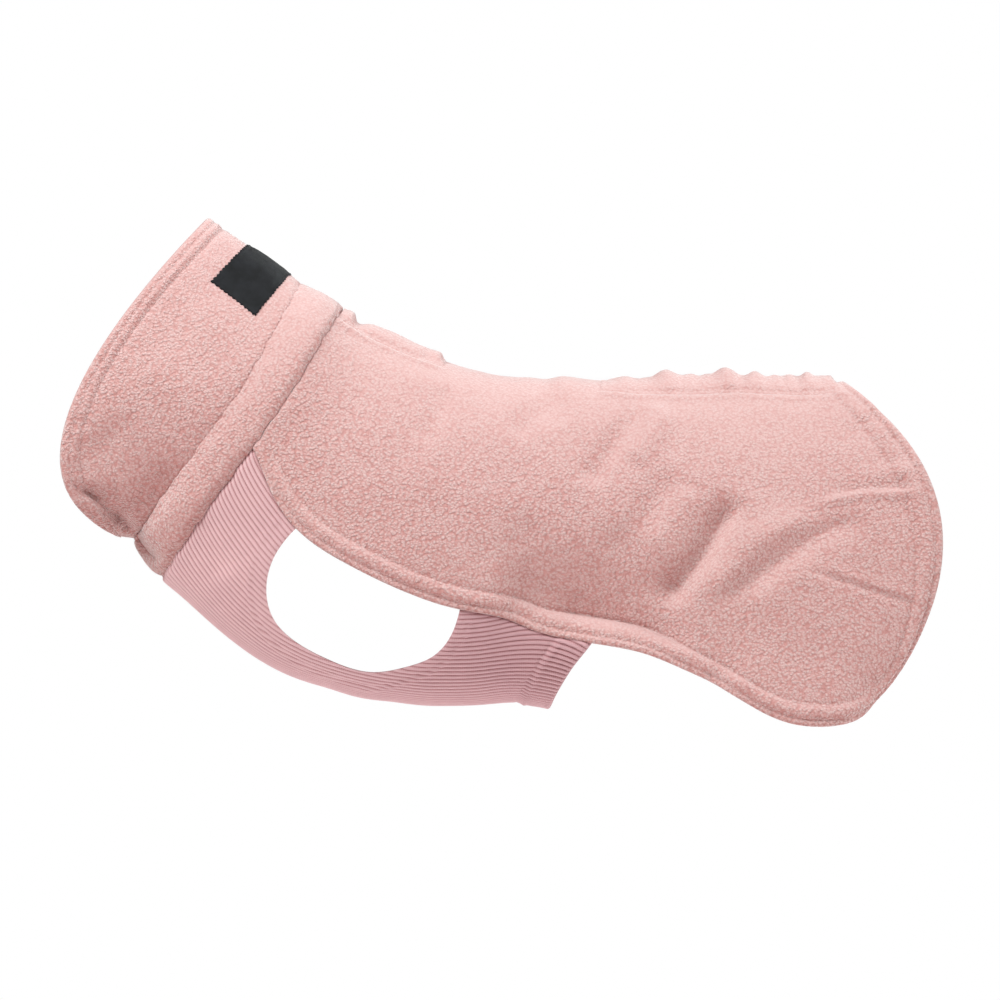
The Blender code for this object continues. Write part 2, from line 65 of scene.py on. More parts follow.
# The cross sections, seen from the side: a curve from top to bottom, and how far its bows leave the line.
# Columns: x and z of the top, the bottom, the high bow and the low bow, then half width and fullness.
SECTIONS = {
    "mouth": (-183.5, 91.5, -231.5, -82.8, -62.0, -23.0, -75.5, -33.0, 49.0, 0.96),
    "collar_foot": (-131.0, 56.0, -223.5, -87.5, 5.0, 3.5, -2.5, 1.0, 51.0, 0.96),
    "neck_seam": (-108.5, 36.5, -206.5, -104.5, 7.0, 9.5, 9.0, 13.0, 53.0, 0.96),
    "shoulder": (-79.5, 23.5, -183.5, -128.0, 0.0, 0.0, 7.5, 4.5, 58.0, 0.94),
    "elbow": (-49.5, 12.0, -146.0, -155.0, 0.0, 0.0, 0.0, 0.0, 62.0, 0.92),
    "chest": (-19.5, 5.2, -98.0, -171.0, 0.0, 0.0, 0.0, 0.0, 63.5, 0.92),
    "waist": (11.0, 3.3, -46.5, -176.0, 0.0, 0.0, 0.0, 0.0, 61.5, 0.92),
    "belly": (41.0, 0.5, 4.5, -176.5, 0.0, 0.0, 0.0, 0.0, 60.0, 0.92),
    "loin": (74.0, 0.0, 54.0, -208.0, 0.0, 0.0, 0.0, 0.0, 60.5, 0.92),
    "hip": (107.0, 0.0, 104.0, -247.0, 5.0, 0.0, 14.0, 0.0, 62.0, 0.92),
    "rump": (139.0, 0.0, 128.0, -252.0, 29.0, 8.0, 60.0, 6.0, 59.0, 0.92),
    "tail": (167.5, 1.0, 99.0, -250.0, 81.0, 46.0, 152.0, 41.0, 46.0, 0.92),
}
S = {name: float(number) for number, name in enumerate(SECTIONS)}
NECK, TAIL = S["neck_seam"], S["tail"]

# Outlines seen from the side: x, z.
HEM_LINE = (
    (-167, -17), (-156, -38), (-147.5, -58), (-134, -78), (-107, -97), (-72.5, -113.5), (-44.5, -122.5),
    (-23.5, -127), (-4.5, -135), (15, -140), (36, -143), (55, -146.5), (77.5, -155), (109, -170.5),
    (127, -180.5), (142.5, -185), (158, -185.5), (182, -184),
)
BELLY_LINE = (
    (60, -40), (42, -100), (27, -143), (18.5, -154), (12.5, -163.5), (8, -172), (3, -186),
)
LEG_OPENING = (
    (-112, -60), (-133, -78), (-144, -92), (-149, -108), (-145.5, -127), (-134, -139.5), (-116, -149.5),
    (-92, -156.5), (-75, -154), (-58, -147), (-49.5, -137), (-44.5, -123), (-41, -104),
)

# Folds seen from the side. Columns: depth (a ridge where negative), width on the left of the path as it
# runs, width on its right, and the path itself.
THROAT = (
    (-258, -50.5), (-249, -59.5), (-243.5, -62), (-236.6, -68), (-229.5, -76), (-225.5, -80.8),
    (-222.3, -84.4), (-217.3, -88.6), (-213.4, -92.4), (-205.2, -96.3),
)
# Creases that are pushed straight in from the side, with the same columns, on both sides.
TUCKS = {
    "throat": (4.6, 3.6, 2.0, *THROAT),
    "throat_pocket": (4.4, 3.6, 2.4, (-238, -67), (-229.5, -76), (-224.5, -81.5)),
    "throat_pinch": (5.0, 3.0, 2.3, (-224, -83), (-217.3, -88.6), (-206, -96)),
}
LEFT_FOLDS = {
    "throat": (1.5, 4.6, 3.4, *THROAT),
    "under_rump": (8.4, 9.0, 6.2, (66, -124), (80, -104), (90, -90), (99, -75), (113, -60)),
    "rump_ridge": (-3.5, 10.0, 4.6, (90, -121), (104, -102), (122, -85), (152, -69.5)),
    "hip_trough": (2.7, 3.6, 8.0, (94, -120), (118, -103), (138.6, -89), (158, -78), (184, -73)),
    "below_hip": (-1.6, 8.0, 10.0, (112, -124), (136, -108), (154, -96)),
    "loin": (3.0, 6.5, 7.5, (58, -8), (53, -16), (43, -29), (34, -42), (24, -57)),
    "loin_ridge": (-2.2, 8.0, 8.0, (72, -10), (60, -27), (50, -44)),
    "flank": (2.2, 10.0, 7.5, (76, -44), (66, -58), (52, -76), (34, -96)),
    "flank_ridge": (-2.0, 8.0, 8.0, (84, -54), (72, -74), (58, -92)),
    "belly_dip": (1.6, 10.0, 12.0, (0, -70), (-20, -86), (-44, -98)),
    "withers": (1.8, 6.0, 8.0, (17, -3), (8, -9), (-4, -16), (-16, -30)),
    "back_dip": (1.6, 8.0, 8.0, (-4, 6), (11, -24)),
    "shoulder_dip": (1.3, 6.0, 9.0, (-50, 1), (-53, -8), (-58, -20), (-66, -34)),
    "spine_rise": (-1.5, 9.0, 9.0, (2, 6), (20, 3), (38, 2), (56, 0)),
    "rump_top": (1.6, 12.0, 12.0, (176, -14), (188, -32), (192, -48)),
    "flank_slope": (5.2, 34.0, 22.0, (-32, -111), (0, -116), (26, -118), (50, -114), (78, -98)),
    "hem_tuck": (3.4, 9.0, 3.4, (2, -126), (26, -130.5), (50, -134), (74, -139), (90, -147)),
    "belly_tuck": (5.4, 27.0, 9.0, (-30, -116), (-4, -121), (22, -126.5), (50, -130), (84, -142)),
    "flap_flare": (-4.8, 26.0, 20.0, (92, -160), (118, -172), (146, -180), (184, -170)),
    "collar_soft": (4.0, 22.0, 15.0, (-248, -22), (-224, -46), (-200, -72)),
    "collar_slack": (-0.9, 12.0, 12.0, (-216, 18), (-196, -8), (-178, -28)),
    "knit_wave": (1.5, 8.0, 10.0, (-186, -68), (-182, -84), (-170, -106)),
}
RIGHT_FOLDS = {
    "throat": (1.9, 4.6, 3.4, *THROAT),
    "under_rump": (6.0, 7.0, 8.0, (60, -124), (74, -106), (87, -90), (97, -72), (106, -56)),
    "rump_ridge": (-3.0, 6.5, 7.5, (80, -120), (98, -98), (116, -82), (146, -70)),
    "hip_trough": (2.8, 4.5, 9.0, (90, -124), (110, -106), (132, -92), (160, -78)),
    "loin": (3.0, 7.0, 8.0, (52, -4), (46, -20), (34, -36), (22, -50)),
    "loin_ridge": (-1.9, 8.0, 8.0, (64, -12), (54, -30), (42, -48)),
    "flank": (2.8, 8.0, 9.0, (60, -58), (48, -78), (30, -98)),
    "flank_ridge": (-1.7, 8.0, 8.0, (76, -56), (64, -78), (50, -94)),
    "belly_dip": (1.4, 10.0, 12.0, (-6, -66), (-28, -84), (-54, -94)),
    "withers": (1.7, 7.0, 8.0, (16, -4), (8, -9), (-8, -18), (-14, -32)),
    "back_dip": (1.6, 8.0, 8.0, (-4, 6), (11, -24)),
    "shoulder_dip": (1.3, 7.0, 9.0, (-50, 1), (-54, -8), (-64, -26)),
    "spine_rise": (-1.5, 9.0, 9.0, (2, 6), (20, 3), (38, 2), (56, 0)),
    "rump_top": (1.4, 12.0, 12.0, (172, -16), (186, -36), (188, -52)),
    "flank_slope": (4.8, 34.0, 22.0, (-36, -108), (-4, -113), (22, -116), (46, -112), (72, -96)),
    "hem_tuck": (3.0, 9.0, 3.4, (-6, -124), (18, -129), (40, -132), (64, -137), (82, -144)),
    "belly_tuck": (5.0, 27.0, 9.0, (-34, -115), (-8, -120), (18, -125.5), (46, -130), (80, -141)),
    "flap_flare": (-4.6, 26.0, 20.0, (90, -160), (116, -171), (146, -180), (182, -168)),
    "collar_soft": (3.6, 22.0, 15.0, (-246, -18), (-222, -42), (-198, -70)),
    "knit_wave": (1.3, 8.0, 10.0, (-186, -64), (-180, -84), (-168, -108)),
}
# Sewn darts in the flaps: the upper is a thin ridge, the lower a sharp crease with a ridge over it.
DARTS = {
    "upper": (
        -1.7, 3.0, 1.5, (213, -55), (204, -58.2), (187, -58.8), (171, -60.3), (158, -63), (145, -69.5),
    ),
    "upper_shadow": (0.9, 1.4, 5.0, (206, -55.6), (187, -56.2), (171, -57.6), (157, -60.4)),
    "lower": (1.5, 1.7, 2.0, (210, -121), (191, -115), (165, -106.4), (143, -99)),
    "lower_ridge": (-0.8, 3.0, 2.6, (210, -117.5), (191, -111.5), (165, -103), (150, -98)),
}

# Lift of a sewn edge over the cloth, by the distance from the edge: the roll, the sewn grooves, the band.
HEM_PROFILE = (
    (0.0, -0.8), (0.12, 0.1), (0.45, 1.0), (1.0, 1.65), (1.8, 2.0), (2.7, 1.95), (3.4, 1.6), (4.0, 1.35),
    (4.6, 1.5), (5.4, 1.95), (6.6, 2.35), (8.2, 2.35), (9.8, 1.9), (11.0, 1.3), (12.0, 0.65), (12.8, 0.3),
    (13.6, 0.3), (14.8, 0.35), (17.0, 0.2), (21.0, 0.0),
)
MOUTH_PROFILE = (
    (0.0, -1.2), (0.15, -0.3), (0.6, 0.7), (1.5, 1.3), (2.7, 1.5), (3.7, 1.35), (4.4, 1.2), (5.1, 1.35),
    (6.1, 1.5), (7.4, 1.3), (8.4, 0.75), (9.3, 0.15), (10.2, 0.3), (12.0, 0.5), (17.0, 0.3), (24.0, 0.0),
)
BAND_PROFILE = (  # share of the way from the collar's foot to the body seam, and lift
    (-0.03, -0.7), (0.0, 0.2), (0.03, 0.95), (0.08, 1.8), (0.16, 3.0), (0.27, 4.1), (0.40, 4.9),
    (0.54, 5.4), (0.66, 5.6), (0.77, 5.5), (0.86, 5.1), (0.93, 4.2), (0.975, 3.0), (1.0, 1.8),
)
SEAM_DRIFT = {  # how far towards the tail each seam runs, by theta
    "collar_foot": ((0.0, 0.0), (0.8, 0.5), (1.4, 2.8), (1.9, 2.6), (2.4, 1.4), (3.2, 0.0)),
    "neck_seam": ((0.0, -3.4), (0.7, -3.4), (1.2, 0.6), (1.6, 0.8), (2.2, -1.2), (3.2, 0.0)),
}
GATHERS = (  # the channel's humps along the spine: place, rise, half length
    (46, 1.2, 6.5), (57, 0.6, 4.5), (69, 4.0, 8.0), (83, 1.2, 4.5), (91, 0.8, 3.5), (102, 5.2, 8.5),
    (118, 3.4, 5.5), (129, 1.4, 4.5), (137, 1.6, 4.5), (147, 2.6, 4.0), (155, 0.6, 3.5), (163, 1.6, 5.0),
)
# How high the two casings stand on the spine, by x, and their sewn edges, by the distance from the edge.
CHANNEL_RISES = ((36, 1.6), (44, 2.6), (52, 3.8), (66, 4.8), (80, 5.1), (160, 5.0), (168, 4.2))
PLACKET_RISES = (
    (-112, 3.0), (-104.5, 3.2), (-101, -0.4), (-98.5, 1.0), (-96, 2.9), (-93, 4.2), (-88, 4.9),
    (-79, 5.0), (-71, 4.0), (-63, 3.7), (-56, 4.3), (-51, 3.9),
)
STRIP_EDGE = (
    (0.0, -0.2), (0.25, 0.1), (0.8, 0.35), (1.6, 0.5), (2.3, 0.42), (2.8, 0.36), (3.3, 0.45),
    (4.2, 0.65), (6.0, 0.8),
)
NAP = ((0.45, 26.0), (0.10, 6.5), (0.10, 3.2))  # the pile's relief: height and size of its features


def natural_spline(knots, values):
    """A smooth curve through the values at the knots, as a function of arrays."""
    knots, values = np.asarray(knots, float), np.asarray(values, float)
    count, steps = len(knots), np.diff(knots)
    system, right = np.eye(count), np.zeros_like(values)
    slopes = np.diff(values, axis=0) / steps[:, None]
    for i in range(1, count - 1):
        system[i, i - 1:i + 2] = steps[i - 1], 2 * (steps[i - 1] + steps[i]), steps[i]
        right[i] = 6 * (slopes[i] - slopes[i - 1])
    bends = np.linalg.solve(system, right)

    def curve(x):
        x = np.asarray(x, float)
        i = np.clip(np.searchsorted(knots, x, side="right") - 1, 0, count - 2)
        a, b = (knots[i + 1] - x) / steps[i], (x - knots[i]) / steps[i]
        straight = a[..., None] * values[i] + b[..., None] * values[i + 1]
        bend = (a**3 - a)[..., None] * bends[i] + (b**3 - b)[..., None] * bends[i + 1]
        return straight + bend * (steps[i] ** 2)[..., None] / 6

    return curve


def size_of(vectors):
    return np.linalg.norm(vectors, axis=-1)


def lengths_along(path):
    return np.r_[0, np.cumsum(size_of(np.diff(path, axis=0)))]


def outline(points, count=240):
    """Many points along the smooth curve through a few."""
    points = np.asarray(points, float)
    lengths = lengths_along(points)
    return natural_spline(lengths, points)(np.linspace(0, lengths[-1], count))


def smooth_step(x):
    x = np.clip(x, 0, 1)
    return x * x * (3 - 2 * x)


def bump(x):
    """A soft hump of height 1 about x = 0."""
    return np.exp(-(x**2))


section_at = natural_spline(range(len(SECTIONS)), list(SECTIONS.values()))
hem_line = outline(HEM_LINE)
belly_line = outline(BELLY_LINE)
leg_line = outline(LEG_OPENING, 120)


def form(s, theta):
    """Points of the general form: a section is a Bezier curve from the side, and rounds like an ellipse."""
    s, theta = np.broadcast_arrays(np.asarray(s, float), np.asarray(theta, float))
    row = section_at(s)
    top, bottom = row[..., 0:2], row[..., 2:4]
    high = top + (bottom - top) / 3 + row[..., 4:6]
    low = top + (bottom - top) * 2 / 3 + row[..., 6:8]
    h = ((1 - np.cos(theta)) / 2)[..., None]
    side = (1 - h) ** 3 * top + 3 * h * (1 - h) ** 2 * high + 3 * h * h * (1 - h) * low + h**3 * bottom
    turn = np.sin(theta)
    half_width, fullness = row[..., 8], row[..., 9]
    y = -half_width * np.sign(turn) * np.abs(turn) ** fullness
    return np.stack([side[..., 0], y, side[..., 1]], axis=-1)


def outward(surface, s, theta):
    """Unit normals of a surface, from its two directions."""
    step = 0.02
    along = surface(s + step, theta) - surface(s - step, theta)
    round_it = surface(s, theta + step) - surface(s, theta - step)
    normal = np.cross(round_it, along)
    return normal / size_of(normal)[..., None]


class SideField:
    """A height map over the side view, made from paths, which is quick to read at many places."""

    LOW, HIGH, STEP = (-275.0, -215.0), (235.0, 105.0), 1.0

    def __init__(self):
        self.x = np.arange(self.LOW[0], self.HIGH[0], self.STEP)
        self.z = np.arange(self.LOW[1], self.HIGH[1], self.STEP)
        self.height = np.zeros((len(self.x), len(self.z)))

    def add_fold(self, depth, left_width, right_width, *points):
        path = outline(points, 6 * len(points))
        reach, fade = 3 * max(left_width, right_width), 0.22
        low, high = path.min(axis=0) - reach, path.max(axis=0) + reach
        i = slice(*np.searchsorted(self.x, (low[0], high[0])))
        j = slice(*np.searchsorted(self.z, (low[1], high[1])))
        distance, side, along = from_path(*np.meshgrid(self.x[i], self.z[j], indexing="ij"), path)
        width = np.where(side > 0, left_width, right_width)
        ends = smooth_step(along / fade) * smooth_step((1 - along) / fade)
        self.height[i, j] += depth * ends * bump(distance / width)

    def at(self, x, z):
        i = np.clip((x - self.LOW[0]) / self.STEP, 0, len(self.x) - 1.001)
        j = np.clip((z - self.LOW[1]) / self.STEP, 0, len(self.z) - 1.001)
        i0, j0 = i.astype(int), j.astype(int)
        a, b, h = i - i0, j - j0, self.height
        low = h[i0, j0] * (1 - b) + h[i0, j0 + 1] * b
        high = h[i0 + 1, j0] * (1 - b) + h[i0 + 1, j0 + 1] * b
        return low * (1 - a) + high * a


def from_path(x, z, path):
    """Distance from a path, which side of it (positive on its left), and the share of the way along it."""
    lengths = lengths_along(path)
    best = np.full(x.shape, np.inf)
    side, along = np.zeros(x.shape), np.zeros(x.shape)
    for a, b, start in zip(path[:-1], path[1:], lengths):
        step = b - a
        length = np.linalg.norm(step)
        t = np.clip(((x - a[0]) * step[0] + (z - a[1]) * step[1]) / length**2, 0, 1)
        away = np.hypot(x - a[0] - t * step[0], z - a[1] - t * step[1])
        nearer = away < best
        best = np.where(nearer, away, best)
        side = np.where(nearer, step[0] * (z - a[1]) - step[1] * (x - a[0]), side)
        along = np.where(nearer, (start + t * length) / lengths[-1], along)
    return best, side, along


def fold_field(table):
    field = SideField()
    for fold in table.values():
        field.add_fold(*fold)
    return field


left_folds = fold_field(LEFT_FOLDS)
right_folds = fold_field(RIGHT_FOLDS)
darts = fold_field(DARTS)
tucks = fold_field(TUCKS)


def folds(points, theta):
    """How deep the folds reach; the two sides' own folds meet over the spine and the belly."""
    left = smooth_step(np.sin(theta) / 0.3 + 0.5)
    x, z = points[..., 0], points[..., 2]
    return left * left_folds.at(x, z) + (1 - left) * right_folds.at(x, z)


def no_swell(s, theta):
    return np.zeros(s.shape)


def cloth(s, theta, swell):
    """The cloth's outer face: the form with its folds and its swell."""
    points = form(s, theta)
    moved = swell(s, theta) - folds(points, theta)
    made = points + outward(form, s, theta) * moved[..., None]
    made[..., 1] -= tucks.at(points[..., 0], points[..., 2]) * np.tanh(points[..., 1] / 9.0)
    return made


def skin(s, theta, lift, swell=no_swell):
    """Points at a height over the cloth's outer face; the inner face has a negative lift."""
    s, theta = np.broadcast_arrays(np.asarray(s, float), np.asarray(theta, float))
    lift = np.broadcast_to(lift, s.shape)
    normal = outward(lambda a, b: cloth(a, b, swell), s, theta)
    return cloth(s, theta, swell) + normal * lift[..., None]


def cross(a, b):
    return a[..., 0] * b[..., 1] - a[..., 1] * b[..., 0]


def crossing(line, curve):
    """Where a line of points first crosses a curve, as a fractional index of the line."""
    a, c = line[:-1, None], curve[None, :-1]
    ab, cd, ac = line[1:, None] - a, curve[None, 1:] - c, c - a
    area = cross(ab, cd)
    area = np.where(np.abs(area) < 1e-12, 1e-12, area)
    t, u = cross(ac, cd) / area, cross(ac, ab) / area
    i, k = np.argwhere((t >= 0) & (t <= 1) & (u >= 0) & (u <= 1))[0]
    return i + t[i, k]


THETAS = np.linspace(0, math.pi, 361)
TABLE_S = np.linspace(0.0, TAIL, 177)


def arc_table():
    """Lengths round the sections from the spine, at each of THETAS, a row for each of TABLE_S."""
    points = form(TABLE_S[:, None], THETAS[None])
    steps = size_of(np.diff(points, axis=1))
    return np.concatenate([np.zeros((len(TABLE_S), 1)), np.cumsum(steps, axis=1)], axis=1)


ARCS = arc_table()


def arcs(s):
    """Lengths round one section from the spine, at each of THETAS."""
    place = np.clip(s, 0, TAIL) / TAIL * (len(TABLE_S) - 1)
    row = min(int(place), len(TABLE_S) - 2)
    return ARCS[row] + (ARCS[row + 1] - ARCS[row]) * (place - row)


def theta_at(s, arc):
    """theta at a length round the body from the spine, negative on the right."""
    s, arc = np.broadcast_arrays(np.asarray(s, float), np.asarray(arc, float))
    found = [np.interp(abs(length), arcs(place), THETAS) for place, length in zip(s.flat, arc.flat)]
    return np.array(found).reshape(s.shape) * np.where(arc < 0, -1, 1)


def hem_arcs():
    """How far round from the spine the fleece ends, for each of TABLE_S, or 0 before the neck seam."""
    found = np.zeros(len(TABLE_S))
    for row in np.flatnonzero(TABLE_S >= NECK):
        line = form(TABLE_S[row], THETAS)[:, [0, 2]]
        found[row] = np.interp(crossing(line, hem_line), np.arange(len(THETAS)), ARCS[row])
    return found


HEM_ARCS = hem_arcs()


def hem_arc(s):
    return np.interp(s, TABLE_S, HEM_ARCS)


def unevenness(points, size, seed):
    """Soft noise between about -1 and 1, with features of a size, at points."""
    shift = Vector((seed * 17.3, seed * 5.1, seed * 9.7))
    flat = points.reshape(-1, 3) / size
    found = [noise.noise(Vector(point) + shift) for point in flat]
    return np.array(found).reshape(points.shape[:-1]) * 1.6


def nap(points, seed=0):
    """The pile's own relief, which shows at the outline; the finer curl is in the material."""
    return sum(height * unevenness(points, size, seed + k) for k, (height, size) in enumerate(NAP))


def new_object(name, data):
    made = bpy.data.objects.new(name, data)
    bpy.context.scene.collection.objects.link(made)
    return made


def mesh_piece(name, points, faces, material, uv=None):
    """A smooth mesh object from points in millimetres and faces; uv holds a pair for each point."""
    data = bpy.data.meshes.new(name)
    data.from_pydata((points * MM).tolist(), [], faces)
    data.materials.append(material)
    if uv is not None:
        loops = np.empty(len(data.loops), int)
        data.loops.foreach_get("vertex_index", loops)
        layer = data.uv_layers.new(name="cloth")
        layer.uv.foreach_set("vector", uv[loops].astype(np.float32).ravel())
    data.shade_smooth()
    return new_object(name, data)


def grid_quads(numbers, kept):
    """The corners of a grid's kept quads, where numbers holds the numbers of its points."""
    corners = numbers[:-1, :-1], numbers[:-1, 1:], numbers[1:, 1:], numbers[1:, :-1]
    return np.stack([corner[kept] for corner in corners], axis=1)


def cloth_wall(
    name, material, s, theta, lift, inside, steps=(1, 1), closed=False, swell=no_swell, kept=None, uv=None
):
    """A wall between two grids of points, at the heights lift and inside, with rims that join them.

    Rows run along s and columns round the body, where a closed grid's last column meets its first. The
    inner face has one quad for each block, of steps quads, of the outer one. Blocks that aren't kept at
    all their points are left out.
    """
    points = np.concatenate([skin(s, theta, height, swell).reshape(-1, 3) for height in (lift, inside)])
    (rows, columns), (down, across) = s.shape, steps
    size = rows * columns
    numbers = np.arange(size).reshape(rows, columns)
    if closed:
        numbers = np.c_[numbers, numbers[:, :1]]
    if kept is None:
        kept = np.ones(numbers.shape, bool)
    whole = kept[:-1, :-1] & kept[1:, :-1] & kept[:-1, 1:] & kept[1:, 1:]
    blocks = whole.reshape((rows - 1) // down, down, -1, across).all(axis=(1, 3))
    faces = [
        *grid_quads(numbers, blocks.repeat(down, axis=0).repeat(across, axis=1)).tolist(),
        *(grid_quads(numbers[::down, ::across], blocks)[:, ::-1] + size).tolist(),
    ]
    around = np.pad(blocks, 1)
    if closed:
        around[1:-1, 0], around[1:-1, -1] = blocks[:, -1], blocks[:, 0]
    for i, k in zip(*np.nonzero(blocks)):
        patch = numbers[i * down:(i + 1) * down + 1, k * across:(k + 1) * across + 1]
        sides = patch[0], patch[:, -1], patch[-1, ::-1], patch[::-1, 0]
        beside = around[i, k + 1], around[i + 1, k + 2], around[i + 2, k + 1], around[i + 1, k]
        for side, joined in zip(sides, beside):
            if not joined:
                faces.append([*side[::-1], side[0] + size, side[-1] + size])
    used = np.unique(np.concatenate(faces))
    number = np.zeros(2 * size, int)
    number[used] = np.arange(len(used))
    faces = [number[face].tolist() for face in faces]
    if uv is not None:
        uv = np.concatenate([uv.reshape(-1, 2)] * 2)[used]
    return mesh_piece(name, points[used], faces, material, uv)


def round_over(distance, radius):
    """How far a rounded edge has risen, from 0 at the edge to 1 at a radius from it."""
    return np.sqrt(1 - (1 - np.clip(distance / radius, 0, 1)) ** 2)


def edge_lift(profile, distance):
    places, lifts = zip(*profile)
    return np.interp(distance, places, lifts)


def inner_lift(distance, turned_in):
    """The fleece's inner lift: the edge is round, and the turned cloth lies inside it."""
    round_edge = round_over(distance, 1.4)
    turned = 1.3 * smooth_step((turned_in - distance) / 1.2) * round_edge
    return -FLEECE / 2 - FLEECE / 2 * round_edge - turned


# -------- materials

WHITE = (1.0, 1.0, 1.0)
CURLS_PER_METRE, CURL_BEND = 660.0, 0.0013
# The pile's colours by curl height, from the gap to the tip: the darker gaps and paler tips are painted
# shade and light of the curls.
FLEECE_GAP = (0.585, 0.278, 0.256)
FLEECE_MIDDLE = (0.668, 0.397, 0.376)
FLEECE_TIP = (0.726, 0.520, 0.506)
# Painted highlight: the flat, paler colour that the pile goes to where it faces up.
FLEECE_TOP_HIGHLIGHT = (0.670, 0.438, 0.422)
# Rib knit colours from furrow to crest: the darker furrows and paler crests are painted shade and light.
KNIT_FURROW = (0.44, 0.195, 0.20)
KNIT_SLOPE = (0.64, 0.36, 0.365)
KNIT_CREST = (0.74, 0.465, 0.475)
KNIT_STITCH_LENGTH = 0.0012     # metres, as are the pitches of the label's threads
WARP_PITCH, WEFT_PITCH = 0.00045, 0.00060


class Nodes:
    """A new material, with short names for making its nodes and links."""

    def __init__(self, name):
        self.material = bpy.data.materials.new(name)
        self.material.use_nodes = True
        self.tree = self.material.node_tree
        self.place = self.add("ShaderNodeTexCoord").outputs["Object"]

    def add(self, kind, **values):
        node = self.tree.nodes.new(kind)
        for key, value in values.items():
            self.put(node.inputs[key.title()], value)
        return node

    def put(self, socket, value):
        if isinstance(value, bpy.types.NodeSocket):
            self.tree.links.new(value, socket)
        else:
            socket.default_value = value

    def math(self, operation, *values, kind="ShaderNodeMath"):
        node = self.tree.nodes.new(kind)
        node.operation = operation
        for socket, value in zip(node.inputs, values):
            self.put(socket, value)
        return node.outputs[0]

    def vector(self, operation, *values):
        return self.math(operation, *values, kind="ShaderNodeVectorMath")

    def noise(self, place, scale, detail, rough):
        return self.add("ShaderNodeTexNoise", vector=place, scale=scale, detail=detail, roughness=rough)

    def uv(self):
        """The two coordinates of the mesh's own map."""
        return self.add("ShaderNodeSeparateXYZ", vector=self.add("ShaderNodeUVMap").outputs[0]).outputs

    def ramp(self, factor, *stops):
        """A colour ramp of (place, colour) stops."""
        node = self.tree.nodes.new("ShaderNodeValToRGB")
        elements = node.color_ramp.elements
        while len(elements) < len(stops):
            elements.new(0.5)
        for element, (place, colour) in zip(elements, stops):
            element.position = place
            element.color = (*colour, 1.0)
        self.put(node.inputs[0], factor)
        return node.outputs[0]

    def mix(self, factor, first, second, blend="MIX"):
        node = self.tree.nodes.new("ShaderNodeMix")
        node.data_type = "RGBA"
        node.blend_type = blend
        for number, value in ((0, factor), (6, first), (7, second)):
            self.put(node.inputs[number], value)
        return node.outputs[2]

    def finish(self, colour, height, strength, distance, values):
        """Joins a colour and a relief to the shader, and sets the values that are even all over."""
        relief = self.add("ShaderNodeBump", height=height, strength=strength, distance=distance)
        shader = self.tree.nodes["Principled BSDF"]
        for name, value in {"Base Color": colour, "Normal": relief.outputs[0], **values}.items():
            self.put(shader.inputs[name], value)
        return self.material


def fleece_material():
    """Polar fleece: a pile of small curls, with painted highlight where it faces up, flatter and paler, and
    painted shade where it faces down.
    """
    n = Nodes("fleece")
    bend = n.noise(n.place, 600, 1.0, 0.5)
    bend = n.vector("SUBTRACT", bend.outputs["Color"], (0.5, 0.5, 0.5))
    bent = n.vector("ADD", n.place, n.vector("MULTIPLY", bend, (CURL_BEND,) * 3))
    turn = (0.0, math.radians(12), 0.0)
    mapped = n.add("ShaderNodeMapping", vector=bent, scale=(0.92, 1.0, 1.04), rotation=turn).outputs[0]
    curls = n.add("ShaderNodeTexVoronoi", vector=mapped, scale=CURLS_PER_METRE)
    fibres = n.noise(mapped, 1300, 2.0, 0.6)
    patches = n.noise(n.place, 22, 2.0, 0.5)
    height = n.math("SUBTRACT", 1.0, curls.outputs["Distance"])
    height = n.math("ADD", height, n.math("MULTIPLY", n.math("SUBTRACT", fibres.outputs[0], 0.5), 0.5))

    up = n.add("ShaderNodeSeparateXYZ", vector=n.add("ShaderNodeNewGeometry").outputs["Normal"]).outputs[2]
    # Painted highlight: where the normal faces up, the pile's colour goes flatter and paler, and its bump
    # weaker.
    painted_top_highlight = n.ramp(up, (0.05, (0.0, 0.0, 0.0)), (0.8, (0.58, 0.58, 0.58)))
    # Painted shade: where the normal faces down, the colour is multiplied darker and redder.
    painted_underside_shade = n.ramp(n.math("MULTIPLY", up, -1.0), (0.1, WHITE), (0.75, (0.90, 0.76, 0.75)))
    # Painted shade and light of the curls: darker in the gaps, paler on the tips.
    pile = n.ramp(height, (0.22, FLEECE_GAP), (0.58, FLEECE_MIDDLE), (0.93, FLEECE_TIP))
    pile = n.mix(1.0, n.mix(painted_top_highlight, pile, (*FLEECE_TOP_HIGHLIGHT, 1.0)), painted_underside_shade, "MULTIPLY")
    tone = n.ramp(patches.outputs[0], (0.3, (0.98, 0.97, 0.97)), (0.7, WHITE))
    colour = n.mix(1.0, pile, tone, "MULTIPLY")
    return n.finish(colour, height, n.math("SUBTRACT", 1.0, painted_top_highlight), 0.0011, {
        "Roughness": 1.0, "Specular IOR Level": 0.1,
        "Sheen Weight": 0.8, "Sheen Roughness": 0.4, "Sheen Tint": (1.0, 0.97, 0.96, 1.0),
    })


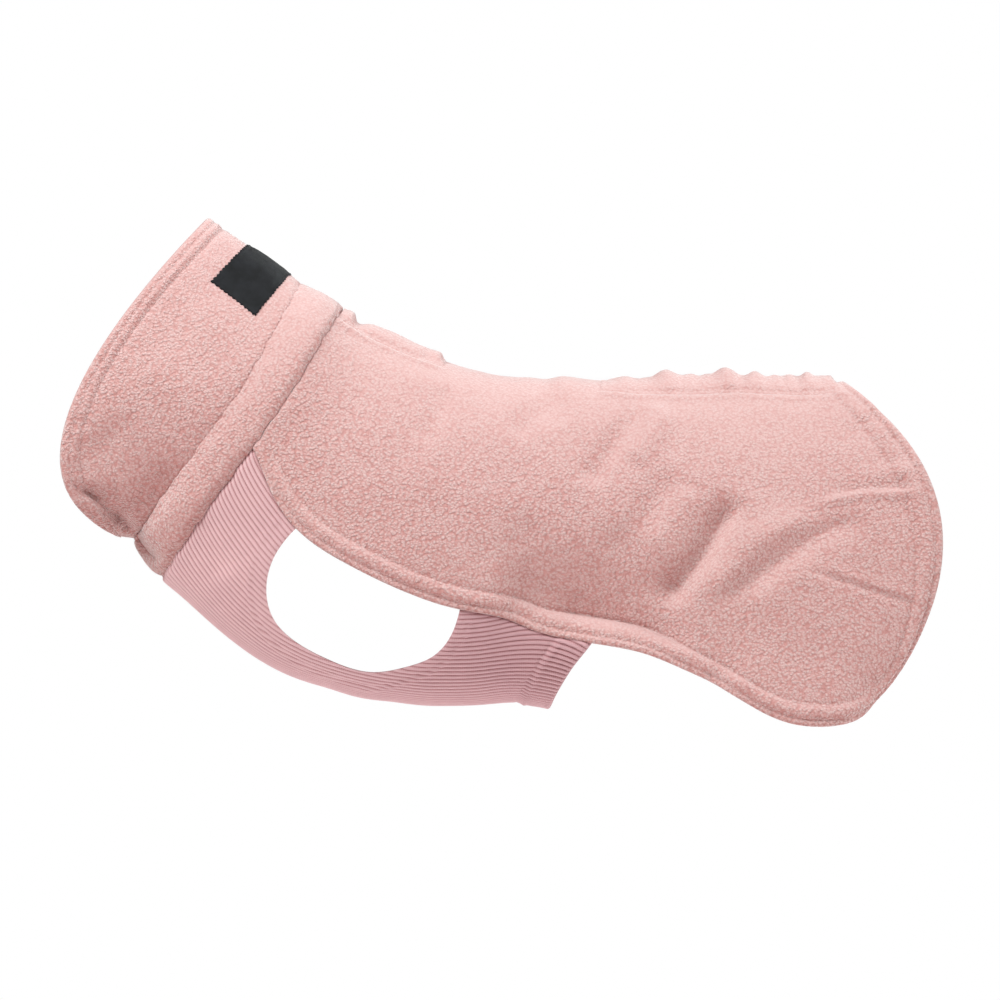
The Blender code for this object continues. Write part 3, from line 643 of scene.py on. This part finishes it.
def knit_material():
    """Rib knit: stitches slant to both sides of a rib's middle. u counts ribs, v is metres along them."""
    n = Nodes("rib_knit")
    u, v = n.uv()[:2]
    across = n.math("ABSOLUTE", n.math("SUBTRACT", n.math("FRACT", u), 0.5))
    stitch = n.math("ADD", n.math("MULTIPLY", v, 1 / KNIT_STITCH_LENGTH), n.math("MULTIPLY", across, 1.5))
    loops = n.math("ABSOLUTE", n.math("SINE", n.math("MULTIPLY", stitch, math.pi)))
    fuzz = n.noise(n.place, 1600, 2.0, 0.6)
    patches = n.noise(n.place, 30, 2.0, 0.5)
    height = n.math("ADD", n.math("MULTIPLY", loops, 0.5), n.math("MULTIPLY", fuzz.outputs[0], 0.35))
    crest = n.math("SUBTRACT", 1.0, n.math("MULTIPLY", across, 2.0))
    crest = n.math("ADD", crest, n.math("MULTIPLY", n.math("SUBTRACT", height, 0.4), 0.45))
    # Painted shade and light: the colour is darker in the furrows between ribs and paler on their crests.
    painted_rib_shade = n.ramp(crest, (0.02, KNIT_FURROW), (0.28, KNIT_SLOPE), (0.85, KNIT_CREST))
    tone = n.ramp(patches.outputs[0], (0.3, (0.94, 0.93, 0.94)), (0.7, WHITE))
    # Darker further along the ribs, towards the rear.
    darker_to_rear = n.ramp(n.math("MULTIPLY", v, 4.0), (0.1, WHITE), (0.8, (0.80, 0.74, 0.76)))
    colour = n.mix(1.0, n.mix(1.0, painted_rib_shade, darker_to_rear, "MULTIPLY"), tone, "MULTIPLY")
    values = {"Roughness": 0.9, "Specular IOR Level": 0.2, "Sheen Weight": 0.15}
    return n.finish(colour, height, 0.6, 0.0004, values)


def label_material():
    """Black damask: fine picks across the label and a faint satin."""
    n = Nodes("woven_label")
    threads = zip(n.uv(), (WARP_PITCH, WEFT_PITCH))
    waves = [n.math("SINE", n.math("MULTIPLY", place, 2 * math.pi / pitch)) for place, pitch in threads]
    patches = n.noise(n.place, 140, 3.0, 0.6)
    colour = n.ramp(patches.outputs[0], (0.3, (0.006, 0.006, 0.007)), (0.7, (0.013, 0.013, 0.016)))
    values = {"Roughness": 0.6, "Specular IOR Level": 0.2}
    return n.finish(colour, n.math("MULTIPLY", *waves), 0.5, 0.0001, values)


fleece = fleece_material()
rib_knit = knit_material()
woven_label = label_material()


# -------- pieces

ROUND_COLUMNS = 320     # columns of points round the collar and the band
COARSE_INSIDE = (2, 2)
HEM_STITCH, SEAM_STITCH, GATHER_STITCH, KNIT_STITCH = 3.1, 3.3, 4.3, 2.4
# A hem's rows of stitches: how far they are from the edge, and how wide they pull the cloth in.
HEM_ROWS = ((12.8, 1.0), (4.0, 0.8))
MOUTH_ROWS = ((9.3, 0.9), (4.4, 0.7))
SEAM_WANDER = {"collar_foot": 0.22, "neck_seam": 0.35}
HEM_TURNED, MOUTH_TURNED = 13.0, 9.5    # how wide a hem's cloth is turned in


def both_sides(half, sign=1):
    """A grid over both sides of the body from the grid of one side, which starts at the middle."""
    return np.concatenate([sign * half[..., :0:-1], half], axis=-1)


def round_places(s):
    """theta at even lengths round the body, from the belly over the right side, and the lengths."""
    around = arcs(s)
    lengths = np.linspace(-around[-1], around[-1], ROUND_COLUMNS + 1)[:-1]
    return np.interp(np.abs(lengths), around, THETAS) * np.sign(lengths), lengths


def stitches(lengths, pitch, seed=0):
    """From 0 to 1 along a seam, 1 where a stitch pulls it in; the pitch wanders a little."""
    wander = 0.35 * np.sin(lengths / 17.0 + seed) + 0.2 * np.sin(lengths / 7.3 + 2 * seed)
    return 0.5 + 0.5 * np.cos(2 * math.pi * (lengths / pitch + wander))


def sewn_rows(distance, rows, lengths, seed=0):
    """How deep a hem's rows of stitches lie."""
    sewn = sum(bump((distance - place) / width) for place, width in rows)
    return (0.15 + 0.3 * stitches(lengths, HEM_STITCH, seed)) * sewn


def seam_wave(s, theta, seam):
    """s, with a seam's small wander across the body, which the pieces on both its sides share."""
    wave = np.sin(23 * theta + 1.0) + 0.7 * np.sin(39 * theta + 2.0) + 0.5 * np.sin(67 * theta)
    drift = np.interp(np.abs(theta), *zip(*SEAM_DRIFT[seam]))
    return s + (SEAM_WANDER[seam] * wave + drift) / SECTION_LENGTH * bump((s - S[seam]) / 0.25)


def collar_swell(s, theta):
    """The collar rolls out over its foot at the sides, and sinks to the band at the throat and nape."""
    roll = np.interp(np.abs(theta), (0.0, 0.5, 1.0, 1.5, 2.1, 3.2), (-0.6, 0.0, 0.8, 0.4, -1.5, -1.5))
    return roll * smooth_step((s - S["collar_foot"] + 0.45) / 0.45)


def make_collar():
    theta, lengths = round_places(0.5)
    length = size_of(form(1.0, theta) - form(0.0, theta))
    near = np.array([place for place, _ in MOUTH_PROFILE])
    squeeze = np.minimum(1.0, 0.6 * length / near[-1])
    rest = np.linspace(0, 1, 46)[1:]
    distance = np.concatenate([
        near[:, None] * squeeze,
        near[-1] * squeeze + rest[:, None] * (length - near[-1] * squeeze),
    ])
    s = np.minimum(distance / length, 1.0)
    from_edge, foot = distance / squeeze, (1 - s) * length
    lift = edge_lift(MOUTH_PROFILE, from_edge) * np.minimum(1.0, 0.35 + squeeze)
    lift -= sewn_rows(from_edge, MOUTH_ROWS, lengths)
    rounding = 0.8 + 0.7 * smooth_step((np.abs(theta) - 1.6) / 0.6)
    lift -= rounding * (1 - round_over(foot, 2.4))
    lift -= 0.4 * stitches(lengths, SEAM_STITCH, 1) * bump((foot - 1.8) / 1.4)
    s = seam_wave(s, theta, "collar_foot")
    base = form(s, theta)
    lift += 0.35 * unevenness(base, 9.0, 4) * bump((from_edge - 7) / 5.0)
    lift += nap(base, 3) * smooth_step(from_edge)
    inside = inner_lift(from_edge, MOUTH_TURNED) - 0.8 * bump(foot / 2.0)
    return cloth_wall("collar_cloth", fleece, s, theta, lift, inside, COARSE_INSIDE, True, collar_swell)


def make_neck_band():
    theta, lengths = round_places(1.5)
    across = np.array([place for place, _ in BAND_PROFILE])
    across = np.unique(np.r_[across, (across[1:] + across[:-1]) / 2])[:, None]
    s = S["collar_foot"] + across * np.ones_like(theta)
    base = form(s, theta)
    puff = edge_lift(BAND_PROFILE, across) * (1 + 0.12 * unevenness(base, 42.0, 5))
    puff *= 1 - 0.45 * smooth_step((np.abs(theta) - 2.2) / 0.6)
    pull = (0.25 + 0.75 * stitches(lengths, GATHER_STITCH, 2)) * (1 + 0.6 * unevenness(base, 16.0, 8))
    lift = puff - 0.8 * pull * bump((across - 0.92) / 0.08)
    lift -= 0.3 * stitches(lengths, SEAM_STITCH, 1) * bump((across - 0.06) / 0.06)
    lift += 1.5 * bump(theta / 0.9) * smooth_step((across - 0.8) / 0.2)
    lift -= 0.8 * bump(theta / 0.5) * bump((across - 0.15) / 0.2)
    s = seam_wave(seam_wave(s, theta, "collar_foot"), theta, "neck_seam")
    lift += nap(base, 7) * np.sin(math.pi * np.clip(across, 0, 1)) ** 0.5
    return cloth_wall("neck_band_cloth", fleece, s, theta, lift, -CASING_WALL, COARSE_INSIDE, closed=True)


HEM_STEPS = np.array([place for place, _ in HEM_PROFILE])[::-1]
HEM_REACH = HEM_STEPS[0]
PANEL_ROWS = np.r_[
    NECK + np.array([-0.03, 0.0, 0.006, 0.016, 0.03, 0.05]),
    np.arange(NECK + 0.11, TAIL - HEM_REACH / REAR_SPACING - 0.03, 0.046),
    TAIL - HEM_STEPS / REAR_SPACING,
]
PANEL_MIDDLE = 128      # columns of points between the spine and the hem
# The casings on the spine: their first and last s, and half their width.
PLACKET = (NECK - 0.10, S["elbow"] - 0.06, 19.0)
CHANNEL = (S["belly"] - 0.25, TAIL - 0.13, 22.0)
STRIP_RIDGE = (1.1, 2.6, 2.3)   # the panel's ridge beside them: height, place from their edge, width
STRIP_CORNER = 7.0
STRIP_INSIDE = -0.7


def corner_shares(from_end, from_side, radius):
    """How far a place is into a corner's square, from 0 to 1, both ways."""
    return np.clip(1 - from_end / radius, 0, 1), np.clip(1 - from_side / radius, 0, 1)


def corner_distance(from_end, from_side, radius):
    """Distance from a cloth's edge, where a square corner is drawn in to a round one."""
    u, v = corner_shares(from_end, from_side, radius)
    return radius * (1 - np.sqrt(u * u + v * v - u * u * v * v))


def round_corner(s, above_hem):
    """Draws the flap's square corner in to a round one, as a square maps to a disc."""
    u, v = corner_shares((TAIL - s) * REAR_SPACING, above_hem, FLAP_CORNER)
    u_round, v_round = u * np.sqrt(1 - v * v / 2), v * np.sqrt(1 - u * u / 2)
    return s + (u_round - u) * FLAP_CORNER / REAR_SPACING, above_hem + (v - v_round) * FLAP_CORNER


def true_rear(s, theta):
    """s, so that nominal distances from the rear edge are real ones near it, and wider at the rump."""
    nominal = (TAIL - s) * REAR_SPACING
    step, far = 0.4, 90.0
    rate = size_of(form(TAIL, theta) - form(TAIL - step, theta)) / step
    rate = rate / (1 + 0.45 * bump((np.abs(theta) - 1.5) / 0.7))
    at_hem, share = HEM_REACH / rate, (nominal - HEM_REACH) / (far - HEM_REACH)
    between = at_hem + share * (far / REAR_SPACING - at_hem)
    back = np.where(nominal < far, between, nominal / REAR_SPACING)
    return TAIL - np.where(nominal < HEM_REACH, nominal / rate, back)


def panel_relief(s, base):
    """The back panel's relief away from its hem, which the casings on it follow too."""
    front = (s - NECK) * SECTION_LENGTH
    return nap(base, 12) - 0.6 * (1 - round_over(front, 2.0)) + 3.0 * bump(front / 15.0)


def spine_x(s):
    return form(s, 0 * s)[..., 0]


def narrowing(s):
    """How much narrower the channel is where its gathers pull it up, by s."""
    x = spine_x(s)
    return 1 - 0.13 * bump((x - 106) / 15) - 0.04 * bump((x - 132) / 9)


def make_back_panel():
    rows = []
    for s in PANEL_ROWS:
        end = hem_arc(s)
        above_hem = end - np.r_[np.linspace(0, end - HEM_REACH, PANEL_MIDDLE)[:-1], end - HEM_STEPS]
        distance = corner_distance((TAIL - s) * REAR_SPACING, above_hem, FLAP_CORNER)
        s, above_hem = round_corner(s, above_hem)
        s = true_rear(s, theta_at(s, hem_arc(s) - above_hem))
        from_spine = hem_arc(s) - above_hem
        rows.append((s, theta_at(s, from_spine), distance, from_spine))
    s, theta, distance, from_spine = np.moveaxis(np.array(rows), 1, 0)
    s, distance, from_spine = (both_sides(grid) for grid in (s, distance, from_spine))
    theta = both_sides(theta, -1)
    base = form(s, theta)
    x, z = base[..., 0], base[..., 2]
    hemmed = smooth_step((s - NECK - 0.42) / 0.3)
    plain_edge = np.interp(distance, (0, 0.5, 1.4, 3.5, 6.0), (-1.1, -0.1, 0.5, 0.6, 0.0))
    hem = edge_lift(HEM_PROFILE, distance)
    flat = 0.7 * bump(theta / 0.9) * smooth_step((s - TAIL + 2.0) / 0.5) * smooth_step(distance / 2.0)
    hem += (0.9 * (1 - smooth_step(distance / HEM_REACH)) - hem) * flat
    hem -= 1.1 * bump((distance - 12.9) / 0.8) * bump((x - 45) / 50)
    lift = hem * hemmed + plain_edge * (1 - hemmed)
    lift -= sewn_rows(distance, HEM_ROWS, x * 0.8 - z, 3) * hemmed
    lift += 0.4 * unevenness(base, 9.0, 11) * bump((distance - 8.0) / 5.0) * hemmed
    lift -= darts.at(x, z) * smooth_step(distance / 3.0)
    lift += panel_relief(s, base) * smooth_step(distance / 1.2)
    height, place, width = STRIP_RIDGE
    for first, last, half_width in (PLACKET, CHANNEL):
        beside = bump((from_spine - half_width * narrowing(s) - place) / width)
        lift += height * beside * smooth_step((s - first) / 0.1) * smooth_step((last - s) / 0.1)
    s = seam_wave(s, theta, "neck_seam")
    inside = inner_lift(distance, HEM_TURNED)
    return cloth_wall("back_panel_cloth", fleece, s, theta, lift, inside, COARSE_INSIDE)


def make_strip(name, first, last, half_width, rise, seed, front=0.0):
    """A sewn casing along the spine, on the back panel; a seam hides so much of its edge in front."""
    near = np.array([place for place, _ in STRIP_EDGE[:-1]])
    inset = 5.2 / SECTION_LENGTH
    rows = np.r_[
        first + near / SECTION_LENGTH,
        np.linspace(first + inset, last - inset, int((last - first) * 24) // 2 * 2 + 1),
        (last - near / SECTION_LENGTH)[::-1],
    ]
    half = np.r_[np.linspace(0, half_width - 5.4, 12), half_width - near[::-1]]
    across = both_sides(half, -1)
    s = np.repeat(rows[:, None], len(across), axis=1)
    across = np.broadcast_to(across, s.shape)
    theta = theta_at(s, across * narrowing(s))
    base = form(s, theta)
    from_end = np.minimum((s - first) * SECTION_LENGTH + front, (last - s) * SECTION_LENGTH)
    from_side = half_width - np.abs(across)
    distance = corner_distance(from_end, from_side, STRIP_CORNER)
    distance = np.minimum(distance, np.minimum(from_end, from_side))
    lift = edge_lift(STRIP_EDGE, distance) + panel_relief(s, base)
    share = np.abs(across) / half_width
    lift += rise(s, base, share) * smooth_step(distance / 5.0) + 0.4 * nap(base, seed)
    return cloth_wall(name, fleece, s, theta, lift, STRIP_INSIDE)


def crown(share, sharpness):
    """The strip's profile from the spine to its sewn edge, where it meets the panel."""
    return np.clip(1 - share**sharpness, 0, 1)


def make_leash_placket():
    def rise(s, base, share):
        top = edge_lift(PLACKET_RISES, spine_x(s))
        tack = 1.6 * bump((base[..., 0] + 61) / 3.5) * bump((share - 0.72) / 0.3)
        return (top - 0.9) * crown(share, 1.6) - tack

    return make_strip("leash_placket_cloth", *PLACKET, rise, 21, front=4.2)


def make_spine_channel():
    def rise(s, base, share):
        x = spine_x(s) + 2.6 * share * np.sin(7 * s)
        puckers = np.zeros(x.shape)
        for centre, height, half_length in GATHERS:
            puckers += height * np.exp(-(((x - centre) / half_length) ** 2) * 1.6)
        top = edge_lift(CHANNEL_RISES, x)
        return (top - 0.7) * crown(share, 1.25) + (puckers - 0.8) * crown(share, 1.6)

    return make_strip("spine_channel_cloth", *CHANNEL, rise, 22)


RIB_SAMPLES = 5         # columns of points for each rib
UNDERLAP = 7.0          # how far the knit runs in under the fleece edge
LEG_HEM = 9.5
ALONG = np.r_[0.0, 0.004, np.linspace(0.012, 0.985, 132), 0.99, 0.994, 0.997, 0.999, 1.0]


def rib_places():
    """s, theta, rib number, distance from the rear edge and length past the fleece of the knit's points."""
    columns = np.arange(RIB_SAMPLES * RIBS_EACH_SIDE + 1) * RIB_PITCH / RIB_SAMPLES
    probe = np.linspace(S["elbow"], S["hip"], 81)
    belly_arc = np.array([arcs(s)[-1] for s in probe])
    ends = []
    for column in columns:
        line = form(probe, theta_at(probe, belly_arc - column))[:, [0, 2]]
        ends.append(np.interp(crossing(line, belly_line), np.arange(len(probe)), probe))
    s = NECK + ALONG[:, None] * (np.array(ends) - NECK)[None]
    round_body = np.array([[arcs(place)[-1] for place in row] for row in s])
    # The ribs leave the neck seam steeply and then bend along the belly.
    from_belly = columns + 6.5 * smooth_step(columns / 26.0) * np.exp(-(s - NECK) * SECTION_LENGTH / 15.0)
    theta = theta_at(s, round_body - from_belly)
    from_rear = size_of(form(s, theta) - form(s[-1], theta[-1]))
    past_fleece = round_body - from_belly - hem_arc(s)
    return s, theta, np.broadcast_to(columns / RIB_PITCH, s.shape), from_rear, past_fleece


def make_chest_panel():
    s, theta, rib, from_rear, past_fleece = rib_places()
    base = form(s, theta)
    x, z = base[..., 0], base[..., 2]
    to_leg = from_path(x, z, np.vstack([leg_line, leg_line[:1]]))[0]
    shape = np.abs(np.sin(math.pi * rib)) ** 0.6
    leg_hem = LEG_HEM + 1.0 - 2.2 * smooth_step((x + 92.0) / 20.0)
    pull = 0.5 + 0.5 * stitches(x - z, KNIT_STITCH, 5)
    leg_seam = (0.7 * bump((to_leg - leg_hem + 2.2) / 0.7) - bump((to_leg - leg_hem) / 0.8)) * pull
    belly_seam = bump((from_rear - BELLY_HEM) / 0.8) + bump((from_rear - BELLY_HEM + 5.5) / 0.8)
    in_leg_hem = smooth_step((leg_hem - to_leg) / 1.5)
    in_belly_hem = smooth_step((BELLY_HEM - from_rear) / 2.0)
    rise = 0.70 * (1 - 0.3 * in_leg_hem) * (1 + 0.6 * in_belly_hem)
    lift = rise * shape - 0.8 * leg_seam - 1.0 * (belly_seam * pull)
    lift += 0.35 * in_leg_hem + 1.3 * in_belly_hem + 0.5 * unevenness(base, 24.0, 31)
    front = (s - NECK) * SECTION_LENGTH
    lift += 2.0 * bump(front / 14.0) - 1.6 * (1 - smooth_step(front / 2.5))
    under = 4.2 * smooth_step((1.5 - past_fleece) / 5.0)
    thin = round_over(from_rear, 1.8) * round_over(to_leg + 0.15, 1.7)
    outer_lift = lift * thin - 0.9 * (1 - thin) - under
    inside = -RIB_WALL / 2 - 0.45 * thin - under - 0.5 * in_belly_hem * thin
    s = seam_wave(s, theta, "neck_seam")

    # Columns start at the belly, so the left half comes first in the order of theta.
    s, kept = both_sides(s), both_sides(past_fleece > -UNDERLAP)
    theta = np.concatenate([theta[:, :0:-1], -theta + 2 * math.pi], axis=1)
    theta = np.where(theta > math.pi, theta - 2 * math.pi, theta)
    steps = size_of(np.diff(base, axis=0))
    along = np.cumsum(np.r_[np.zeros((1, base.shape[1])), steps], axis=0)
    uv = np.stack([both_sides(rib, -1), both_sides(along) * MM], axis=-1)
    made = cloth_wall(
        "chest_panel_knit", rib_knit, s, theta, both_sides(outer_lift), both_sides(inside),
        (1, RIB_SAMPLES), kept=kept, uv=uv,
    )
    cut_leg_openings(made)
    return made


def cut_leg_openings(knit):
    """Cuts a prism with the leg opening's outline through both sides of the knit."""
    reach, same = 90.0, 2e-6
    path = outline(LEG_OPENING, 90)
    near = np.stack([path[:, 0], np.full(len(path), -reach), path[:, 1]], axis=1)
    middle = np.array([path[:, 0].mean(), 0.0, path[:, 1].mean()])
    # The far opening is a little larger and lower, so that its rim stays behind the near one.
    far = (near - middle) * (1.05, -1.0, 1.05) + middle + (-1.2, 0.0, -1.4)
    count = len(path)
    faces = [tuple(range(count)), tuple(range(2 * count - 1, count - 1, -1))]
    faces += [(k, k + count, (k + 1) % count + count, (k + 1) % count) for k in range(count)]
    prism = mesh_piece("leg_prism", np.concatenate([near, far]), faces, rib_knit)
    cut = knit.modifiers.new("leg_openings", "BOOLEAN")
    cut.operation = "DIFFERENCE"
    cut.solver = "EXACT"
    cut.object = prism
    graph = bpy.context.evaluated_depsgraph_get()
    done = bpy.data.meshes.new_from_object(knit.evaluated_get(graph))
    work = bmesh.new()
    work.from_mesh(done)
    bmesh.ops.remove_doubles(work, verts=work.verts, dist=same)
    bmesh.ops.dissolve_degenerate(work, edges=work.edges, dist=same)
    work.to_mesh(done)
    work.free()
    knit.modifiers.clear()
    old = knit.data
    knit.data = done
    done.set_sharp_from_angle(angle=math.radians(60))
    bpy.data.meshes.remove(old)
    bpy.data.objects.remove(prism, do_unlink=True)


def between(ends, share):
    return ends[0] + (ends[1] - ends[0]) * share


def make_label():
    along, across = np.meshgrid(np.linspace(0, 1, 33), np.linspace(-1, 1, 111), indexing="ij")
    away = np.abs(across)
    front, rear = between(LABEL_FRONT, away), between(LABEL_REAR, away)
    half_width = between(LABEL_WIDTHS, along)
    arc = across * half_width
    # The long edges are woven in small steps, and the ends are cut in teeth.
    step_pitch, teeth = 2.6, 11
    jag = 0.010 * np.sign(np.sin(arc * 2 * math.pi / step_pitch)) * (np.abs(along - 0.5) > 0.49)
    s = front + (rear - front) * (along + jag)
    zigzag = 0.45 * np.sin(along * 2 * math.pi * teeth) * (away > 0.985)
    theta = theta_at(s, arc + np.sign(arc) * zigzag)
    base = form(s, theta)
    edge = np.minimum(np.minimum(along, 1 - along) * LABEL_DEPTH, (1 - away) * half_width)
    sewn = np.interp(edge, (0.0, 0.4, 1.2, 2.2, 3.2, 6.0), (0.30, 0.75, 0.9, 0.55, 0.8, 0.95))
    lift = sewn + 0.25 * unevenness(base, 12.0, 41) + nap(base, 3) * 0.6
    uv = np.stack([s * COLLAR_LENGTH * MM, arc * MM], axis=-1)
    return cloth_wall("label_woven", woven_label, s, theta, lift, lift - 0.6, swell=collar_swell, uv=uv)


collar = make_collar()
neck_band = make_neck_band()
back_panel = make_back_panel()
leash_placket = make_leash_placket()
spine_channel = make_spine_channel()
chest_panel = make_chest_panel()
label = make_label()

PIECES = (
    (collar, "collar", "fleece"),
    (neck_band, "neck_band", "fleece"),
    (back_panel, "back_panel", "fleece"),
    (leash_placket, "leash_placket", "fleece"),
    (spine_channel, "spine_channel", "fleece"),
    (chest_panel, "chest_panel", "rib_knit"),
    (label, "label", "label"),
)
for piece, node, slot in PIECES:
    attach(piece, "root")
    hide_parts(node)


# -------- stage, lights and camera

FLOOR_GREY = (0.9, 0.9, 0.9)
LIGHT_COLOUR = (0.88, 1.0, 1.0)
LIGHT_AIM = (0.0, 0.0, -0.06)
LIGHTS = {  # place, size and power
    "overhead": ((-0.15, -1.0, 1.5), (1.2, 0.9), 19.5),
    "high_left": ((-1.35, -1.0, 1.3), (1.0, 1.0), 38.0),
    "right": ((2.2, -0.45, 0.85), (1.0, 1.0), 34.5),
    "behind": ((1.3, 1.6, 1.3), (1.0, 1.0), 24.0),
}
FILL, FILL_COLOUR = 0.23, (1.0, 0.62, 0.59)
CAMERA_AIM = (-0.0220, 0.0, -0.06325)
CAMERA_AWAY, VIEW_WIDTH, CAMERA_RISE = 11.0, 0.55, math.radians(0.7)


def set_values(node, values):
    for name, value in values.items():
        node.inputs[name].default_value = value


def look_from(made, place, aim):
    """Puts a light or a camera at a place, with its face towards another."""
    made.location = place
    made.rotation_euler = (Vector(aim) - Vector(place)).to_track_quat("-Z", "Y").to_euler()


def make_floor():
    """A plain pale round floor under the sweater."""
    material = bpy.data.materials.new("floor")
    material.use_nodes = True
    set_values(material.node_tree.nodes["Principled BSDF"], {
        "Base Color": (*FLOOR_GREY, 1.0), "Roughness": 1.0,
        "Emission Color": (*WHITE, 1.0), "Emission Strength": 0.2,
    })
    level, radius, count = -0.40, 1.0, 64
    turns = np.arange(count) * 2 * math.pi / count
    points = np.stack([radius * np.cos(turns), radius * np.sin(turns), np.full(count, level)], axis=1) / MM
    mesh_piece("floor", points, [tuple(range(count))], material)


def make_light(name, place, size, power):
    data = bpy.data.lights.new(name, "AREA")
    data.shape = "RECTANGLE"
    data.size, data.size_y = size
    data.energy = power
    data.color = LIGHT_COLOUR
    look_from(new_object(name, data), place, LIGHT_AIM)


def make_world():
    """White surroundings, which light the sweater with a softer, warmer fill than they show."""
    world = bpy.data.worlds.new("soft_white")
    world.use_nodes = True
    tree = world.node_tree
    seen, lit = tree.nodes["Background"], tree.nodes.new("ShaderNodeBackground")
    set_values(seen, {"Color": (*WHITE, 1.0), "Strength": 1.0})
    set_values(lit, {"Color": (*FILL_COLOUR, 1.0), "Strength": FILL})
    choice = tree.nodes.new("ShaderNodeMixShader")
    path = tree.nodes.new("ShaderNodeLightPath")
    for number, output in enumerate((path.outputs["Is Camera Ray"], lit.outputs[0], seen.outputs[0])):
        tree.links.new(output, choice.inputs[number])
    tree.links.new(choice.outputs[0], tree.nodes["World Output"].inputs["Surface"])
    bpy.context.scene.world = world


def make_camera():
    """Level with the sweater and square to its side, as in the photo, through a long lens."""
    data = bpy.data.cameras.new("camera")
    data.sensor_width = 36.0
    data.lens = data.sensor_width * CAMERA_AWAY / VIEW_WIDTH
    data.clip_start, data.clip_end = 0.5, 60.0
    made = new_object("camera", data)
    back = Vector((0.0, -math.cos(CAMERA_RISE), math.sin(CAMERA_RISE))) * CAMERA_AWAY
    look_from(made, Vector(CAMERA_AIM) + back, CAMERA_AIM)
    bpy.context.scene.camera = made


make_floor()
make_world()
for name, settings in LIGHTS.items():
    make_light(name, *settings)
make_camera()
bpy.context.scene.view_settings.view_transform = "Standard"
